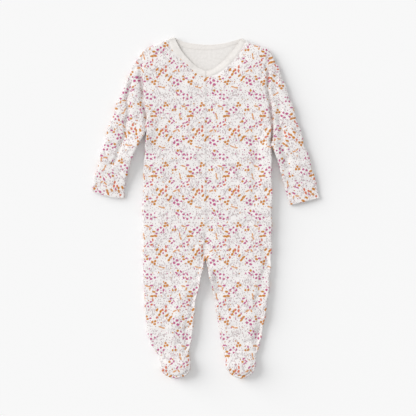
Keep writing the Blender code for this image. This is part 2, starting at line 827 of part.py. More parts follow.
def back_half(side):
    """Half of the back, with the back of one leg, to be joined along the centre."""
    stations, heights = zip(*back_rows(side))
    heights = [y * MM for y in heights]
    heights[0] -= HALF_GAP
    _, leg_inner = body_edges(side)
    outer = faceted_armhole(side, back_armhole(side))

    def inner(station):
        if station <= side.crotch:
            return np.array([0.0, np.interp(station, stations, heights)])
        return leg_inner(station)

    shoulder = outer(0)
    neck = neck_seam(side)
    width = np.linalg.norm(inner(0) - shoulder)
    corner = np.linalg.norm(neck(0) - shoulder) / width
    turned = [corner + BACK_ROLL * turn / width for turn in PLAIN_TURNS]
    chest = [corner / 2] + turned + list(NECK_SHARES)
    neck_shares = chest[1:] + [1 - BACK_ROLL / width, 1.0]

    def top(share):
        if share <= corner:
            return shoulder + (neck(0) - shoulder) * share / corner
        return neck(np.interp(share, neck_shares, neck.stations)) - np.array([0, HALF_GAP])

    def shoulder_drop(share):
        if share <= corner:
            return 1.0
        return 1 - rise((share - corner) * width, 1.0, BACK_ROLL)

    def across(station, low, high):
        legs = np.linspace(low, high, len(chest) + 2)[1:-1]
        fade = smooth(np.interp(station, CHEST_COLUMNS, (0, 1)))
        return (1 - fade) * np.array(chest) + fade * legs

    seam, turn = heel_seam(side)
    outer_turns = [turn * share for share in PLAIN_TURNS]
    heel_stations = outer_turns + list(HEEL_FACETS) + [HEEL_KNOTS - t for t in reversed(outer_turns)]
    heel = seam.moved(side.sign * -HEEL_GAP / 2)
    bottom_shares = []

    def bottom(share):
        return heel(np.interp(share, bottom_shares, heel_stations))

    def armhole_drop(station):
        return 1 - armhole_level(side, station)

    def leg(station):
        return smooth((station - side.crotch) / LEG_TURN)

    panel = Panel(
        outer=moved_in(outer, inner),
        inner=inner,
        rows=stations + tuple(side.crotch + row for row in BACK_LEG_ROWS),
        outer_border=Border(
            armhole_drop, lambda t: float(t >= side.armhole_end), constant(BACK_ROLL)
        ),
        inner_border=Border(leg, leg, constant(BACK_ROLL)),
        first_border=Border(shoulder_drop, lambda s: float(s <= corner), constant(BACK_ROLL)),
        first=top,
        first_reach=3,
        last=bottom,
        last_reach=5,
        seam=constant(SIDE_SEAM - HALF_GAP),
        turns=PLAIN_TURNS,
        across=across,
        facing=-1,
    )
    bottom_shares.extend(columns(panel, panel.rows[-1]))
    face = outer_face(panel)
    rear = inner_face(panel, face)
    crotch_row = len(stations) - 1
    rear[: crotch_row + 1, -1] = face[: crotch_row + 1, -1] + [0, 0, CLOTH]
    return face, rear, range(crotch_row)


def back():
    """The back in one piece: both halves, joined along the middle down to the crotch."""
    mesh = bmesh.new()
    for side in (RIGHT, LEFT):
        face, rear, joined = back_half(side)
        add_wall(mesh, face, rear, joined=joined)
    return finish("back", mesh, JERSEY)


def sleeve(side):
    """A sleeve, a flattened tube from the armhole seam to the open hem."""
    outer, inner = edges_of(side.sleeve, side.sign)
    end = side.armhole_end
    rows = SLEEVE_ROWS
    top_stations, under_stations = front_armhole(side), back_armhole(side)
    hem_bow = HEM_BOW if side is RIGHT else 0.0

    def tube(stations):
        armhole = Facets.of(body_edges(side)[0], stations)
        return Panel(
            outer=outer,
            inner=inner,
            rows=rows,
            outer_border=rolled(FRONT_ROLL),
            inner_border=rolled(FRONT_ROLL),
            first=lambda share: armhole(share * end) + np.array([side.sign * HALF_GAP, 0]),
            first_reach=2.2,
            last=lambda share: outer(rows[-1])
            + share * (inner(rows[-1]) - outer(rows[-1]))
            - np.array([0, hem_bow * math.sin(math.pi * share)]),
            last_reach=1.5,
        )

    top, under = tube(top_stations), tube(under_stations)

    def shoulder_roll(station):
        """The outer edge's roll along a row, longer where the rows leave the edge at a slant."""
        return FRONT_ROLL * (1 + SHOULDER_SLANT * math.sin(math.pi * min(station / SLANT_END, 1)))

    def shares(station, width, fold, stations, turn_shares):
        """Columns that start at the armhole's stations and soon keep to the rolls and the fold."""
        low = [shoulder_roll(station) * turn / width for turn in turn_shares]
        high = [1 - FRONT_ROLL * turn / width for turn in reversed(turn_shares)]
        count = len(stations) - 2 * len(low)
        half = min(FOLD_HALF_WIDTH / width, (high[0] - low[-1]) / 5)
        fold = min(max(fold, low[-1] + FOLD_ROOM * half), high[0] - FOLD_ROOM * half)
        if turn_shares is PLAIN_TURNS:
            between = np.linspace(low[-1], high[0], count + 2)[1:-1]
        else:
            before = round((count - 3) * fold)
            between = np.concatenate([
                np.linspace(low[-1], fold - half, before + 2)[1:-1],
                [fold - half, fold, fold + half],
                np.linspace(fold + half, high[0], count - 3 - before + 2)[1:-1],
            ])
        placed = np.array(low + list(between) + high)
        fade = smooth(station / ARMHOLE_REACH)
        return (1 - fade) * np.array(stations) / end + fade * placed

    def point(shape, share, station, width, fold, depth):
        place = plan(shape, share, station)
        level = 1.0
        for edge, radius in ((0, shoulder_roll(station)), (1, FRONT_ROLL)):
            level *= rise(np.linalg.norm(place - plan(shape, edge, station)), 1.0, radius)
        if shape is under:
            return (*place, SIDE_SEAM * (1 - level))
        sunk = ARMHOLE_DROP * (LOFT - SIDE_SEAM) * (1 - smooth(station / ARMHOLE_REACH))
        rim = LOFT - sunk - soft_trough((share - fold) * width, depth)
        return (*place, SIDE_SEAM + (rim - SIDE_SEAM) * level)

    face = []
    knots = range(len(side.sleeve_fold))
    for station in rows:
        width = np.linalg.norm(inner(station) - outer(station))
        fold = np.interp(station, knots, [f[0] for f in side.sleeve_fold])
        depth = np.interp(station, knots, [f[1] * MM for f in side.sleeve_fold])
        over = shares(station, width, fold, top_stations, FINE_TURNS)
        below = shares(station, width, fold, under_stations, PLAIN_TURNS)[-2:0:-1]
        row = [point(top, share, station, width, fold, depth) for share in over]
        row += [point(under, share, station, width, fold, depth) for share in below]
        face.append(row)
    face = np.array(face)
    count = len(over)
    normals = face_normals(face, 1, closed=True)
    for row, inside in ((0, 1), (-1, -2)):
        out = outwards(face[row, :count], face[inside, :count])
        out = np.concatenate([out, outwards(face[row, count:], face[inside, count:])])
        normals[row] = cut_directions(
            face[row], out, normals[row], np.zeros(len(face[row])), closed=True
        )
        for tip in (0, count - 1):
            beside = flat(face[row, tip] - face[row, count // 2])
            normals[row, tip] = flat(beside - out[tip] * np.dot(beside, out[tip]))
    rear = face - CLOTH * normals
    rear[:, 1 : count - 1, 2] = np.maximum(rear[:, 1 : count - 1, 2], SIDE_SEAM + HALF_GAP)
    rear[:, count:, 2] = np.minimum(rear[:, count:, 2], SIDE_SEAM - HALF_GAP)
    mesh = bmesh.new()
    add_wall(mesh, face, rear, closed=True)
    return finish(f"sleeve_{side.name}", mesh, JERSEY)


def toe_curve(side, outer, inner, end):
    """The toe's round end, from the outer corner through the tip to the inner corner."""
    tip = np.array([side.sign * side.toe_tip[0], side.toe_tip[1]]) * MM

    def curve(share):
        straight = outer(end) + share * (inner(end) - outer(end))
        bow = tip - (outer(end) + inner(end)) / 2
        return straight + bow * math.sin(math.pi * share)

    return curve


def foot_upper(side):
    """The top of the foot, from the ankle seam, puffed up over the toes."""
    outer, inner = edges_of(side.foot, side.sign)
    last = len(side.foot) - 1

    def radius(station):
        return FRONT_ROLL + (TOE_ROLL - FRONT_ROLL) * smooth(station / 2)

    def seam(station):
        return SIDE_SEAM + (TOE_SEAM - SIDE_SEAM) * smooth(station / last) + HALF_GAP

    def loft(_, station):
        return LOFT + (TOE_LOFT - LOFT) * smooth(station / 2.6)

    panel = Panel(
        outer=outer,
        inner=inner,
        rows=FOOT_ROWS,
        outer_border=rolled(radius),
        inner_border=rolled(radius),
        last_border=rolled(TOE_ROLL),
        last=toe_curve(side, outer, inner, last),
        last_reach=2.5,
        seam=seam,
        loft=loft,
        middle=1,
    )
    return build_panel(f"foot_upper_{side.name}", panel)


def sole(side):
    """The sole from heel to toe, flat on the ground, with its rim turned up round the toes."""
    foot_outer, foot_inner = edges_of(side.foot, side.sign)
    ankle = len(side.heel) - 1
    last = ankle + len(side.foot) - 1
    seam_line, turn = heel_seam(side)
    heel_line = seam_line.moved(side.sign * HEEL_GAP / 2)

    def outer(station):
        return heel_line(ankle - station) if station <= ankle else foot_outer(station - ankle)

    def inner(station):
        if station <= ankle:
            return heel_line(HEEL_KNOTS - ankle + station)
        return foot_inner(station - ankle)

    heel_shares = []

    def heel(share):
        return heel_line(np.interp(share, heel_shares, SOLE_HEEL_END))

    def rim(station):
        """How far the rim is turned up: not at all at the heel, and fully from the ankle on."""
        if station >= ankle:
            return 1.0
        return 1 - rise(np.linalg.norm(outer(station) - outer(ankle)), 1.0, BACK_ROLL)

    def seam(station):
        front_share = max(station - ankle, 0) / (last - ankle)
        return SIDE_SEAM + (TOE_SEAM - SIDE_SEAM) * smooth(front_share) - HALF_GAP

    near_ankle = [ankle - turn * share for share in reversed(PLAIN_TURNS)]
    panel = Panel(
        outer=outer,
        inner=inner,
        rows=SOLE_HEEL_ROWS + tuple(near_ankle) + SOLE_TOE_ROWS,
        outer_border=Border(rim, rim, constant(BACK_ROLL)),
        inner_border=Border(rim, rim, constant(BACK_ROLL)),
        last_border=rolled(BACK_ROLL),
        first=heel,
        first_reach=1.6,
        last=toe_curve(side, outer, inner, last),
        last_reach=2.5,
        seam=seam,
        turns=PLAIN_TURNS,
        facing=-1,
    )
    heel_shares.extend(columns(panel, 0))
    return build_panel(f"sole_{side.name}", panel)


def front_neck_band(side):
    """The binding along one front's neck seam, from the shoulder to the centre front."""
    front_outer, seam_edge = body_edges(side)
    edge = Curve(mirrored(side.neck_edge, side.sign))

    def seam(station):
        return seam_edge(station) + HALF_GAP * unit(seam_edge(station) - front_outer(station))

    level = Border(constant(EDGE_DROP), constant(0.0), constant(BAND_RADIUS))
    panel = Panel(
        outer=seam,
        inner=edge,
        rows=tuple(row for row in front_rows(side) if row <= side.front_corner),
        outer_border=level,
        inner_border=level,
        first_border=rolled(FRONT_ROLL),
        loft=front_loft(side),
        turns=BAND_TURNS,
        middle=1,
    )
    return build_panel(f"neck_band_{side.name}", panel, BINDING)


def back_neck_band():
    """The binding round the back neck, from shoulder to shoulder, lying face down."""
    right, left = neck_seam(RIGHT), neck_seam(LEFT)
    _, edge = edges_of(BACK_NECK, 1)
    end = 2 * NECK_CENTRE

    def seam_edge(station):
        place = right(station) if station <= NECK_CENTRE else left(end - station)
        return place + np.array([0, HALF_GAP])

    rows = list(right.stations) + [end - station for station in reversed(left.stations[:-1])]
    panel = Panel(
        outer=seam_edge,
        inner=edge,
        rows=tuple(rows),
        outer_border=butt(BAND_RADIUS),
        inner_border=butt(BAND_RADIUS),
        first_border=rolled(BACK_ROLL),
        last_border=rolled(BACK_ROLL),
        seam=constant(SIDE_SEAM - HALF_GAP),
        turns=BAND_TURNS,
        middle=1,
        facing=-1,
    )
    return build_panel("neck_band_back", panel, BINDING)


def main():
    """Clears the scene and makes every piece of the garment."""
    for old in list(bpy.data.objects):
        bpy.data.objects.remove(old)
    garment = bpy.data.collections.new("footed_baby_sleepsuit")
    bpy.context.scene.collection.children.link(garment)
    back()
    back_neck_band()
    for side in (LEFT, RIGHT):
        front(side)
        front_neck_band(side)
        sleeve(side)
        foot_upper(side)
        sole(side)


main()
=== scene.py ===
"""Dresses the laid-out footed baby sleepsuit: thin printed jersey, binding, stitches and light.

The head end is at +Y, the wearer's left at +X, and the back lies on z = 0. The cloth is one
height field over the plan, the top, and one under it, the back. Each panel is cut from them
along its own edges, so panels that are sewn together meet. Tables are in millimetres.
"""

import logging
import math
from dataclasses import dataclass, field
from enum import Enum
from typing import Callable, Optional, Sequence

import bmesh
import bpy
import numpy as np
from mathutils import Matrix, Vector, kdtree


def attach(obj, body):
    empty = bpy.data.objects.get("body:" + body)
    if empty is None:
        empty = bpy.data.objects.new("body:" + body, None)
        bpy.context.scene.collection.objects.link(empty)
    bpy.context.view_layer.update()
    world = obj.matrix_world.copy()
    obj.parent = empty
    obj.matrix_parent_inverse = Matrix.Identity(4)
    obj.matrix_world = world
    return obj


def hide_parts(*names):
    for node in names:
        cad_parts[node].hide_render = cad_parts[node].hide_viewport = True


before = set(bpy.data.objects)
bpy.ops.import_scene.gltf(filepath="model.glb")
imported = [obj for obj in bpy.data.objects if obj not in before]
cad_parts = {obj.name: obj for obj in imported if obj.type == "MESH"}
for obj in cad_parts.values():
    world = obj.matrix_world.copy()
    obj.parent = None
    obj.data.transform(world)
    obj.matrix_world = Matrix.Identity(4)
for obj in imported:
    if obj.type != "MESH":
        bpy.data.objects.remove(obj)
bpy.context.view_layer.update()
LOG = logging.getLogger("sleepsuit")

MM = 0.001
CLOTH = 0.45 * MM  # thickness of the jersey
CLOTH_UV = "cloth"  # name of the flat coordinates
WELD = 0.02 * MM  # points this near to each other are one
SHARP = math.radians(62)  # an edge that turns more than this stays sharp
FOLD_RADIUS = 0.47 * MM  # of a turned edge, round its own middle
FOLD_STEPS = 7  # rows of points round it
TUCK = 1.2 * MM  # how far a sewn edge turns into the seam
TUCK_LEAN = 0.06 * MM  # and how far it leans inwards there
SEAM = 4.4 * MM  # height of the side, shoulder and inner leg seams
SEAM_WIDTH = 3.4  # reach of the groove that a seam pulls, in millimetres
FLAT = 7.8 * MM  # height of the top just inside its rolled edge
PUFF = 2.6 * MM  # how much higher it is farther in
PUFF_REACH = 36 * MM  # and how far in that is
EDGE_ROLL = 3.2 * MM  # how far in from the silhouette the top rolls down
UNDER_ROLL = 5 * MM  # and how far in the underside rolls up
LIFT_FADE = 5 * MM  # folds die away this near to the silhouette
LOWEST = 2.2 * MM  # and no fold reaches lower than this
FOLD_GAIN = 1.6  # folds and dents are this many times as deep as their tables say
FOLD_SWAY = 0.22  # their depth varies by this share
SWAY_LENGTHS = (6.1 * MM, 8.3 * MM)  # over these lengths, across and along
ANKLE_Y = -250 * MM  # the feet begin here
TOE_TOP = 16.6 * MM  # height of the puffed toes
TOE_RUN = 28 * MM  # how far past the ankle the top has that height
TOE_ROLL = 9 * MM  # how far in the toes roll down
TOE_SEAM = 7.5 * MM  # height of the seam round them
FOOT_LENGTH = 42 * MM  # how far past the ankle the seam has that height
RIM_DEPTHS = (0.2, 0.6, 1.2, 2.0, 2.6, 2.8, 2.6, 2.0, 1.2, 0.6, 0.2)  # of the groove round the toes
RIM_WIDTH = 2.6
UNDERLAP_DEPTH = 1.05 * MM  # how far the wearer's left front lies below the right one
UNDERLAP_RISE = 48 * MM  # it is up again this far to the wearer's left
UNDERLAP_END = -58 * MM  # and it lies below from here upwards
UNDERLAP_FADE = 34 * MM  # once it has sunk over this length
CUFF_REACH = 62 * MM  # the sleeves lie flatter this near to their hems
CUFF_SINK = 0.46  # and are this share lower at the hems
ARM_X = 118 * MM  # farther out than this lie the sleeves alone
ARM_FADE = 10 * MM

Array = np.ndarray
Places = Array  # n x 2 points in plan, in metres
Line = tuple[tuple[float, float], ...]  # points in plan, in millimetres
Points = Sequence[tuple[float, float]]
Pair = tuple[Array, Array]  # a grid of points and its flat coordinates
Shape = Callable[[Array], Array]  # points or heights, by station, share or place
Piece = bpy.types.Object
Material = bpy.types.Material
Node = bpy.types.Node
Socket = bpy.types.NodeSocket


def table(kind: type, *rows: tuple) -> tuple:
    """One item of a kind from each row of its values."""
    return tuple(kind(*row) for row in rows)


class Hold(Enum):
    """How a border of a panel ends."""

    SEWN = "sewn"  # turned down into its seam
    TURNED = "turned"  # folded back under itself
    OPEN = "open"


@dataclass(frozen=True)
class Station:
    """One row across a panel, by the places of its two ends, in millimetres."""

    outer_x: float
    outer_y: float
    inner_x: float
    inner_y: float


@dataclass(frozen=True)
class SidePlan:
    """The outline of one half of the garment, as it lies; x runs outwards from the centre."""

    name: str
    sign: int  # 1 for the wearer's left
    body: tuple[Station, ...]
    armhole_end: int  # station on the outer edge of the body
    front_corner: int  # station on its inner edge where the neck ends
    neck_edge: Line  # free edge of the neck binding
    sleeve: tuple[Station, ...]
    foot: tuple[Station, ...]
    heel: tuple[Station, ...]  # two ends of the heel seam, from its back to the ankle
    heel_back: tuple[float, float]
    toe_tip: tuple[float, float]
    centre: Line  # station and height of the back's middle
    hem_bow: float  # how far the sleeve's hem bows out, in millimetres
    crotch: int = 13  # station where the legs part
    toe_rim: float = 4.6  # how far in the seam round the toes shows

    def world(self, points: Points) -> Line:
        """Table points with x in the world's sense."""
        return tuple((self.sign * x, y) for x, y in points)


RIGHT = SidePlan(
    name="right",
    sign=-1,
    body=table(
        Station, (103.5, 277, 64.5, 293), (109, 261, 59.5, 277), (110.5, 240, 50, 264),
        (110.5, 218, 34, 251), (109.5, 197, 18, 235), (107, 178, 0, 225.5), (104, 155, 0, 182),
        (102, 134, 0, 142), (105, 105, 0, 108), (108, 60, 0, 60), (109, 10, 0, 10), (109, -35, 0, -35),
        (109, -65, 0, -62), (109, -88, 0, -87), (108, -125, 7, -118), (106, -165, 17, -163),
        (103, -205, 21, -203), (98, -228, 23.5, -226), (91, -243, 27, -242), (86, -250, 29.5, -251),
    ),
    armhole_end=7,
    front_corner=5,
    neck_edge=((54.8, 296.2), (49, 284.5), (41.5, 271.5), (29, 256.5), (14.5, 244), (0, 237)),
    sleeve=table(
        Station, (103.5, 277, 102, 134), (116, 262, 106, 126), (128, 242, 111, 118),
        (138.5, 219, 117, 106.5), (150, 190, 123, 95), (162.5, 157, 128.5, 81), (173, 125, 133, 67),
        (183, 90, 137, 52), (191, 58, 139.5, 35), (197.9, 30, 141.8, 17),
    ),
    foot=table(
        Station, (86, -250, 29.5, -251), (80.5, -258, 27.5, -259.5), (79, -267, 25.5, -268),
        (78, -276, 25.5, -276.5), (75.5, -283.5, 27.5, -284), (70, -290, 33, -290.5),
    ),
    heel=table(
        Station, (66, -204, 46.5, -204), (73, -212, 40, -212), (78, -226, 35.5, -226),
        (82, -240, 32.5, -240), (86, -250, 29.5, -251),
    ),
    heel_back=(56.5, -197.5),
    toe_tip=(52, -296.2),
    centre=((0, 275), (1.75, 238), (3.5, 203), (5.25, 168), (7, 132), (7.9, 108), (9, 62),
            (10, 12), (11, -33), (12, -62), (13, -87)),
    hem_bow=3,
)

LEFT = SidePlan(
    name="left",
    sign=1,
    body=table(
        Station, (107.5, 275.5, 70, 290.5), (107, 256, 64, 276.5), (107, 234, 54.5, 262.5),
        (108.5, 212, 40.5, 247), (110.5, 190, 20, 232.5), (114, 170, -1, 226), (116, 150, -18, 224),
        (115.5, 128, -18, 166), (114, 108, -18, 112), (115, 75, -18, 75), (116, 10, -18, 18),
        (115.5, -25, -9, -18), (115.5, -60, 0, -56), (114.5, -88, 0, -87), (112.5, -117, 6, -118),
        (109.5, -150, 14, -150), (105, -183, 18.5, -180), (98.5, -217, 23.5, -212), (94.5, -235, 27, -233),
        (91.5, -248, 31, -248),
    ),
    armhole_end=8,
    front_corner=6,
    neck_edge=((62.6, 294.5), (54, 281), (44.5, 269), (31, 255), (14, 242), (-2, 236.5), (-18, 235)),
    sleeve=table(
        Station, (107.5, 275.5, 114, 108), (119, 259, 116, 104), (129, 238, 118.5, 98),
        (139, 212, 122, 88.5), (149, 186, 126, 76.5), (159, 154.5, 129.5, 64), (169, 121, 133, 50),
        (179, 90, 137.5, 35), (189, 57, 141.8, 20.5), (197.9, 17.5, 146.3, 5),
    ),
    foot=table(
        Station, (91.5, -248, 31, -248), (88, -256, 33.3, -257), (87.5, -266, 34.7, -266),
        (86.5, -275, 35, -275), (84.5, -283, 38, -282.5), (78, -290, 45, -290),
    ),
    heel=table(
        Station, (70.5, -202, 51.5, -202), (77.5, -210, 44.5, -210), (83, -224, 39.5, -224),
        (87, -238, 35.5, -238), (91.5, -248, 31, -248),
    ),
    heel_back=(61, -195.5),
    toe_tip=(62, -296.2),
    centre=((0, 275), (2, 238), (4, 203), (6, 168), (8, 132), (8.6, 108), (9.3, 62),
            (10, 12), (11.1, -33), (12, -62), (13, -87)),
    hem_bow=0,
)

# The back neck from the right shoulder to the left: x, y of the seam, then of the free edge.
BACK_NECK = table(
    Station, (-64.5, 293, -54.8, 296.2), (-48, 284, -41, 289.5), (-28, 277.5, -26, 286),
    (0, 275, 2, 283.3), (25, 277, 24, 284.8), (48, 283.5, 43, 288.5), (70, 290.5, 62.6, 294.5),
)


def unit(vectors: Array) -> Array:
    """The vectors, each of length one."""
    return vectors / np.maximum(np.linalg.norm(vectors, axis=-1, keepdims=True), 1e-12)


def ease(share: Array) -> Array:
    """A smooth step from 0 to 1."""
    share = np.clip(share, 0.0, 1.0)
    return share * share * (3 - 2 * share)


def quarter(share: Array) -> Array:
    """A quarter circle's rise from 0, upright, to 1, level."""
    return np.sqrt(np.clip(1 - (1 - np.clip(share, 0.0, 1.0)) ** 2, 0.0, 1.0))


def outer_ends(rows: Sequence[Station]) -> list[tuple]:
    """The outer ends of some rows."""
    return [(row.outer_x, row.outer_y) for row in rows]


def inner_ends(rows: Sequence[Station]) -> list[tuple]:
    """The inner ends of some rows."""
    return [(row.inner_x, row.inner_y) for row in rows]


def runs_along(path: Array) -> Array:
    """How far along a path of points each of them lies."""
    return np.concatenate([[0], np.cumsum(np.linalg.norm(np.diff(path, axis=0), axis=1))])


@dataclass(frozen=True)
class Ripple:
    """The waviness of a free-lying edge, from one station to another."""

    depth: float  # in millimetres
    pitch: float  # stations to a wave
    start: float
    end: float
    phase: float = 0.0
    finer: float = 0.4  # height of the finer waves on it, as a share
    pace: float = 4.2  # half turns of a finer wave to each whole one
    lag: float = 1.3
    swell: float = 7  # it has its full depth after a seventh of the stretch

    def depth_at(self, station: Array) -> Array:
        """How far the edge strays.

        Args:
            station: places along the edge.

        Returns:
            The distance at each in metres, to the right of the edge's run.
        """
        run = np.asarray(station, float) - self.start
        share = run / (self.end - self.start)
        turn = run / self.pitch + self.phase
        wave = np.sin(2 * math.pi * turn) + self.finer * np.sin(self.pace * math.pi * turn + self.lag)
        return self.depth * MM * wave * ease(share * self.swell) * ease((1 - share) * self.swell)


class Curve:
    """A smooth plane curve through knots one station apart, sharp at its corners."""

    slope_reach = 0.02  # stations to either side over which its direction is taken
    fine_points = 400  # its length is measured on so many points

    def __init__(
        self,
        knots: Points,
        corners: Sequence[int] = (),
        ripple: Optional[Ripple] = None,
    ) -> None:
        """Works out the tangents.

        Args:
            knots: points in millimetres, in the world's sense.
            corners: knots where the curve may turn sharply.
            ripple: how the cloth's edge strays from the curve, if it does.
        """
        self.ripple = ripple
        self.knots = np.array(knots, float) * MM
        step = np.diff(self.knots, axis=0)
        size = np.linalg.norm(step, axis=1)
        self.leave, self.arrive = step.copy(), step.copy()
        for i in range(1, len(self.knots) - 1):
            if i in corners:
                continue
            turn = unit(self.knots[i + 1] - self.knots[i - 1]) * min(size[i - 1], size[i])
            self.leave[i] = self.arrive[i - 1] = turn

    def __call__(self, station: Array) -> Array:
        """The points of the curve with its ripple.

        Args:
            station: places along the curve.

        Returns:
            A point for each, in metres.
        """
        place = self.smooth(station)
        if self.ripple is None:
            return place
        station = np.asarray(station)
        way = unit(self.smooth(station + self.slope_reach) - self.smooth(station - self.slope_reach))
        out = np.stack([way[..., 1], -way[..., 0]], axis=-1)
        return place + out * self.ripple.depth_at(station)[..., None]

    def smooth(self, station: Array) -> Array:
        """The points of the curve without its ripple.

        Args:
            station: places along the curve.

        Returns:
            A point for each, in metres.
        """
        station = np.asarray(station, float)
        i = np.clip(np.floor(station).astype(int), 0, len(self.knots) - 2)
        t = (station - i)[..., None]
        return (
            (2 * t**3 - 3 * t**2 + 1) * self.knots[i]
            + (t**3 - 2 * t**2 + t) * self.leave[i]
            + (-2 * t**3 + 3 * t**2) * self.knots[i + 1]
            + (t**3 - t**2) * self.arrive[i]
        )

    def line(self, spacing: float, start: float = 0.0, end: Optional[float] = None) -> Array:
        """Points about this far apart along a stretch of the curve."""
        return self(self.stations(spacing, start, end))

    def stations(self, spacing: float, start: float = 0.0, end: Optional[float] = None) -> Array:
        """Stations that lie about evenly apart along a stretch of the curve.

        Args:
            spacing: how far apart, in metres.
            start: the first station.
            end: the last one, or None for the curve's own.

        Returns:
            The stations in order.
        """
        end = len(self.knots) - 1 if end is None else end
        fine = np.linspace(start, end, self.fine_points)
        run = runs_along(self(fine))
        count = max(2, int(round(run[-1] / spacing)) + 1)
        return np.interp(np.linspace(0, run[-1], count), run, fine)

    def by_length(self) -> Shape:
        """The curve as a function of the share of its length."""
        runs = self.stations(1 * MM)
        return lambda share: self(np.interp(share, np.linspace(0, 1, len(runs)), runs))


def edges_of(
    stations: Sequence[Station],
    sign: int,
    outer: Sequence[int] = (),
    inner: Sequence[int] = (),
    ripples: tuple[Optional[Ripple], Optional[Ripple]] = (None, None),
) -> tuple[Curve, Curve]:
    """The outer and the inner edge of a table of stations, with the knots where each turns sharply."""
    rows = [Station(sign * s.outer_x, s.outer_y, sign * s.inner_x, s.inner_y) for s in stations]
    return Curve(outer_ends(rows), outer, ripples[0]), Curve(inner_ends(rows), inner, ripples[1])


def body_edges(side: SidePlan) -> tuple[Curve, Curve]:
    """The outer and the inner edge of one side of the body."""
    last, corners = len(side.body) - 1, (side.front_corner, side.crotch)
    return edges_of(side.body, side.sign, (side.armhole_end,), corners, (
        Ripple(0.6, 1.25, side.armhole_end, last, 0.3 * side.sign),
        Ripple(0.5, 0.9, side.crotch, last, 0.1)))


def sleeve_edges(side: SidePlan) -> tuple[Curve, Curve]:
    """The outer and the inner edge of a sleeve."""
    last = len(side.sleeve) - 1
    return edges_of(side.sleeve, side.sign, ripples=(
        Ripple(1.1, 1.3, 0, last, 0.15 + 0.2 * side.sign), Ripple(0.6, 1.1, 3, last, 0.4)))


def toe_curve(side: SidePlan, outer: Curve, inner: Curve) -> Shape:
    """The round end of a foot, from its outer corner through the tip to its inner corner.

    Args:
        side: the outline.
        outer: the foot's outer edge.
        inner: its inner edge.

    Returns:
        The curve, by its share.
    """
    end = len(side.foot) - 1
    start, stop = outer(end), inner(end)
    tip = np.array([side.sign * side.toe_tip[0], side.toe_tip[1]]) * MM
    bow = tip - (start + stop) / 2

    def curve(share: Array) -> Array:
        """The points at these shares."""
        share = np.asarray(share, float)[..., None]
        return start + share * (stop - start) + bow * np.sin(math.pi * share)

    return curve


def heel_seam(side: SidePlan) -> Curve:
    """The seam round the back of the sole, from the outer ankle over the heel to the inner one."""
    knots = outer_ends(side.heel[::-1]) + [side.heel_back] + inner_ends(side.heel)
    return Curve(side.world(knots))


def path_reach(places: Places, path: Array) -> tuple[Array, Array]:
    """Signed distances from a path of points, positive on its left, and the run along it.

    Args:
        places: points in plan.
        path: the path's own points, in order.

    Returns:
        The distance of each place, and how far along the path its nearest point is.
    """
    step = np.diff(path, axis=0)
    size = np.linalg.norm(step, axis=1)
    start = runs_along(path)
    best = np.full(len(places), np.inf)
    side = np.ones(len(places))
    run = np.zeros(len(places))
    for i in range(len(step)):
        away = places - path[i]
        share = np.clip(away @ step[i] / max(size[i] ** 2, 1e-18), 0, 1)
        gap = away - share[:, None] * step[i]
        reach = np.hypot(gap[:, 0], gap[:, 1])
        near = reach < best
        best[near] = reach[near]
        side[near] = np.sign(step[i, 0] * gap[near, 1] - step[i, 1] * gap[near, 0])
        run[near] = (start[i] + share * size[i])[near]
    return best * np.where(side == 0, 1, side), run


def boxed(places: Places, path: Array, wide: float) -> Array:
    """The numbers of the places that lie in a path's box, let out by a width."""
    low, high = path.min(0) - wide, path.max(0) + wide
    return np.flatnonzero(np.all((places > low) & (places < high), axis=1))


@dataclass(frozen=True)
class Crease:
    """A soft trough along a line on the cloth, or a ridge where its depth is below zero.

    The points and widths are in millimetres, and so is each point's depth.
    """

    points: Line
    depths: tuple[float, ...]
    left: float
    right: float

    def lift(self, places: Places) -> Array:
        """How much the crease lifts the cloth.

        Args:
            places: points in plan.

        Returns:
            The lift at each, in metres.
        """
        curve = Curve(self.points)
        stations = curve.stations(3 * MM)
        path = curve(stations)
        lift = np.zeros(len(places))
        near = boxed(places, path, max(self.left, self.right) * MM)
        if not len(near):
            return lift
        reach, run = path_reach(places[near], path)
        station = np.interp(run, runs_along(path), stations)
        depth = np.interp(station, np.arange(len(self.points)), self.depths) * MM
        width = np.where(reach > 0, self.left, self.right) * MM
        bell = 0.5 * (1 + np.cos(math.pi * np.clip(np.abs(reach) / width, 0, 1)))
        lift[near] = -depth * bell
        return lift


def out_of_step(turn: Array) -> Array:
    """Two slow waves out of step, by which one gather differs from the next."""
    return np.sin(2.1 * turn) + 0.6 * np.sin(4.7 * turn + 1)


@dataclass(frozen=True)
class Puckers:
    """Small gathers across a seam, deepest on it. All sizes are in millimetres."""

    points: Line
    depth: float
    reach: float
    pitch: float
    phase: float = 0.0
    end: float = 4  # reaches from the seam at which nothing is left of them
    stray: float = 1.3  # how far they stray from an even pitch, in radians
    vary: float = 0.25  # by what share their depth varies

    def lift(self, places: Places) -> Array:
        """How much the gathers lift the cloth.

        Args:
            places: points in plan.

        Returns:
            The lift at each, in metres.
        """
        path = Curve(self.points).line(2 * MM)
        lift = np.zeros(len(places))
        near = boxed(places, path, self.end * self.reach * MM)
        if not len(near):
            return lift
        reach, run = path_reach(places[near], path)
        turn = run / (self.pitch * MM) + self.phase
        uneven = out_of_step(turn)
        wave = np.sin(2 * math.pi * turn + self.stray * uneven) * (1 - self.vary + self.vary * uneven)
        lift[near] = self.depth * MM * np.exp(-np.abs(reach) / (self.reach * MM)) * wave
        return lift


@dataclass(frozen=True)
class Wave:
    """One of the long uneven waves of cloth that has been laid down by hand."""

    length: float  # in millimetres
    turn: float  # the way it runs, in degrees
    height: float  # in millimetres
    phase: float


UNREST = table(
    Wave, (74, 20, 0.34, 0.3), (51, 115, 0.28, 2.1), (37, 63, 0.2, 4.4), (29, 160, 0.15, 1.2),
    (21, 95, 0.1, 5.3), (16, 40, 0.09, 3.3), (13, 125, 0.08, 0.9), (10.5, 75, 0.06, 2.7),
)


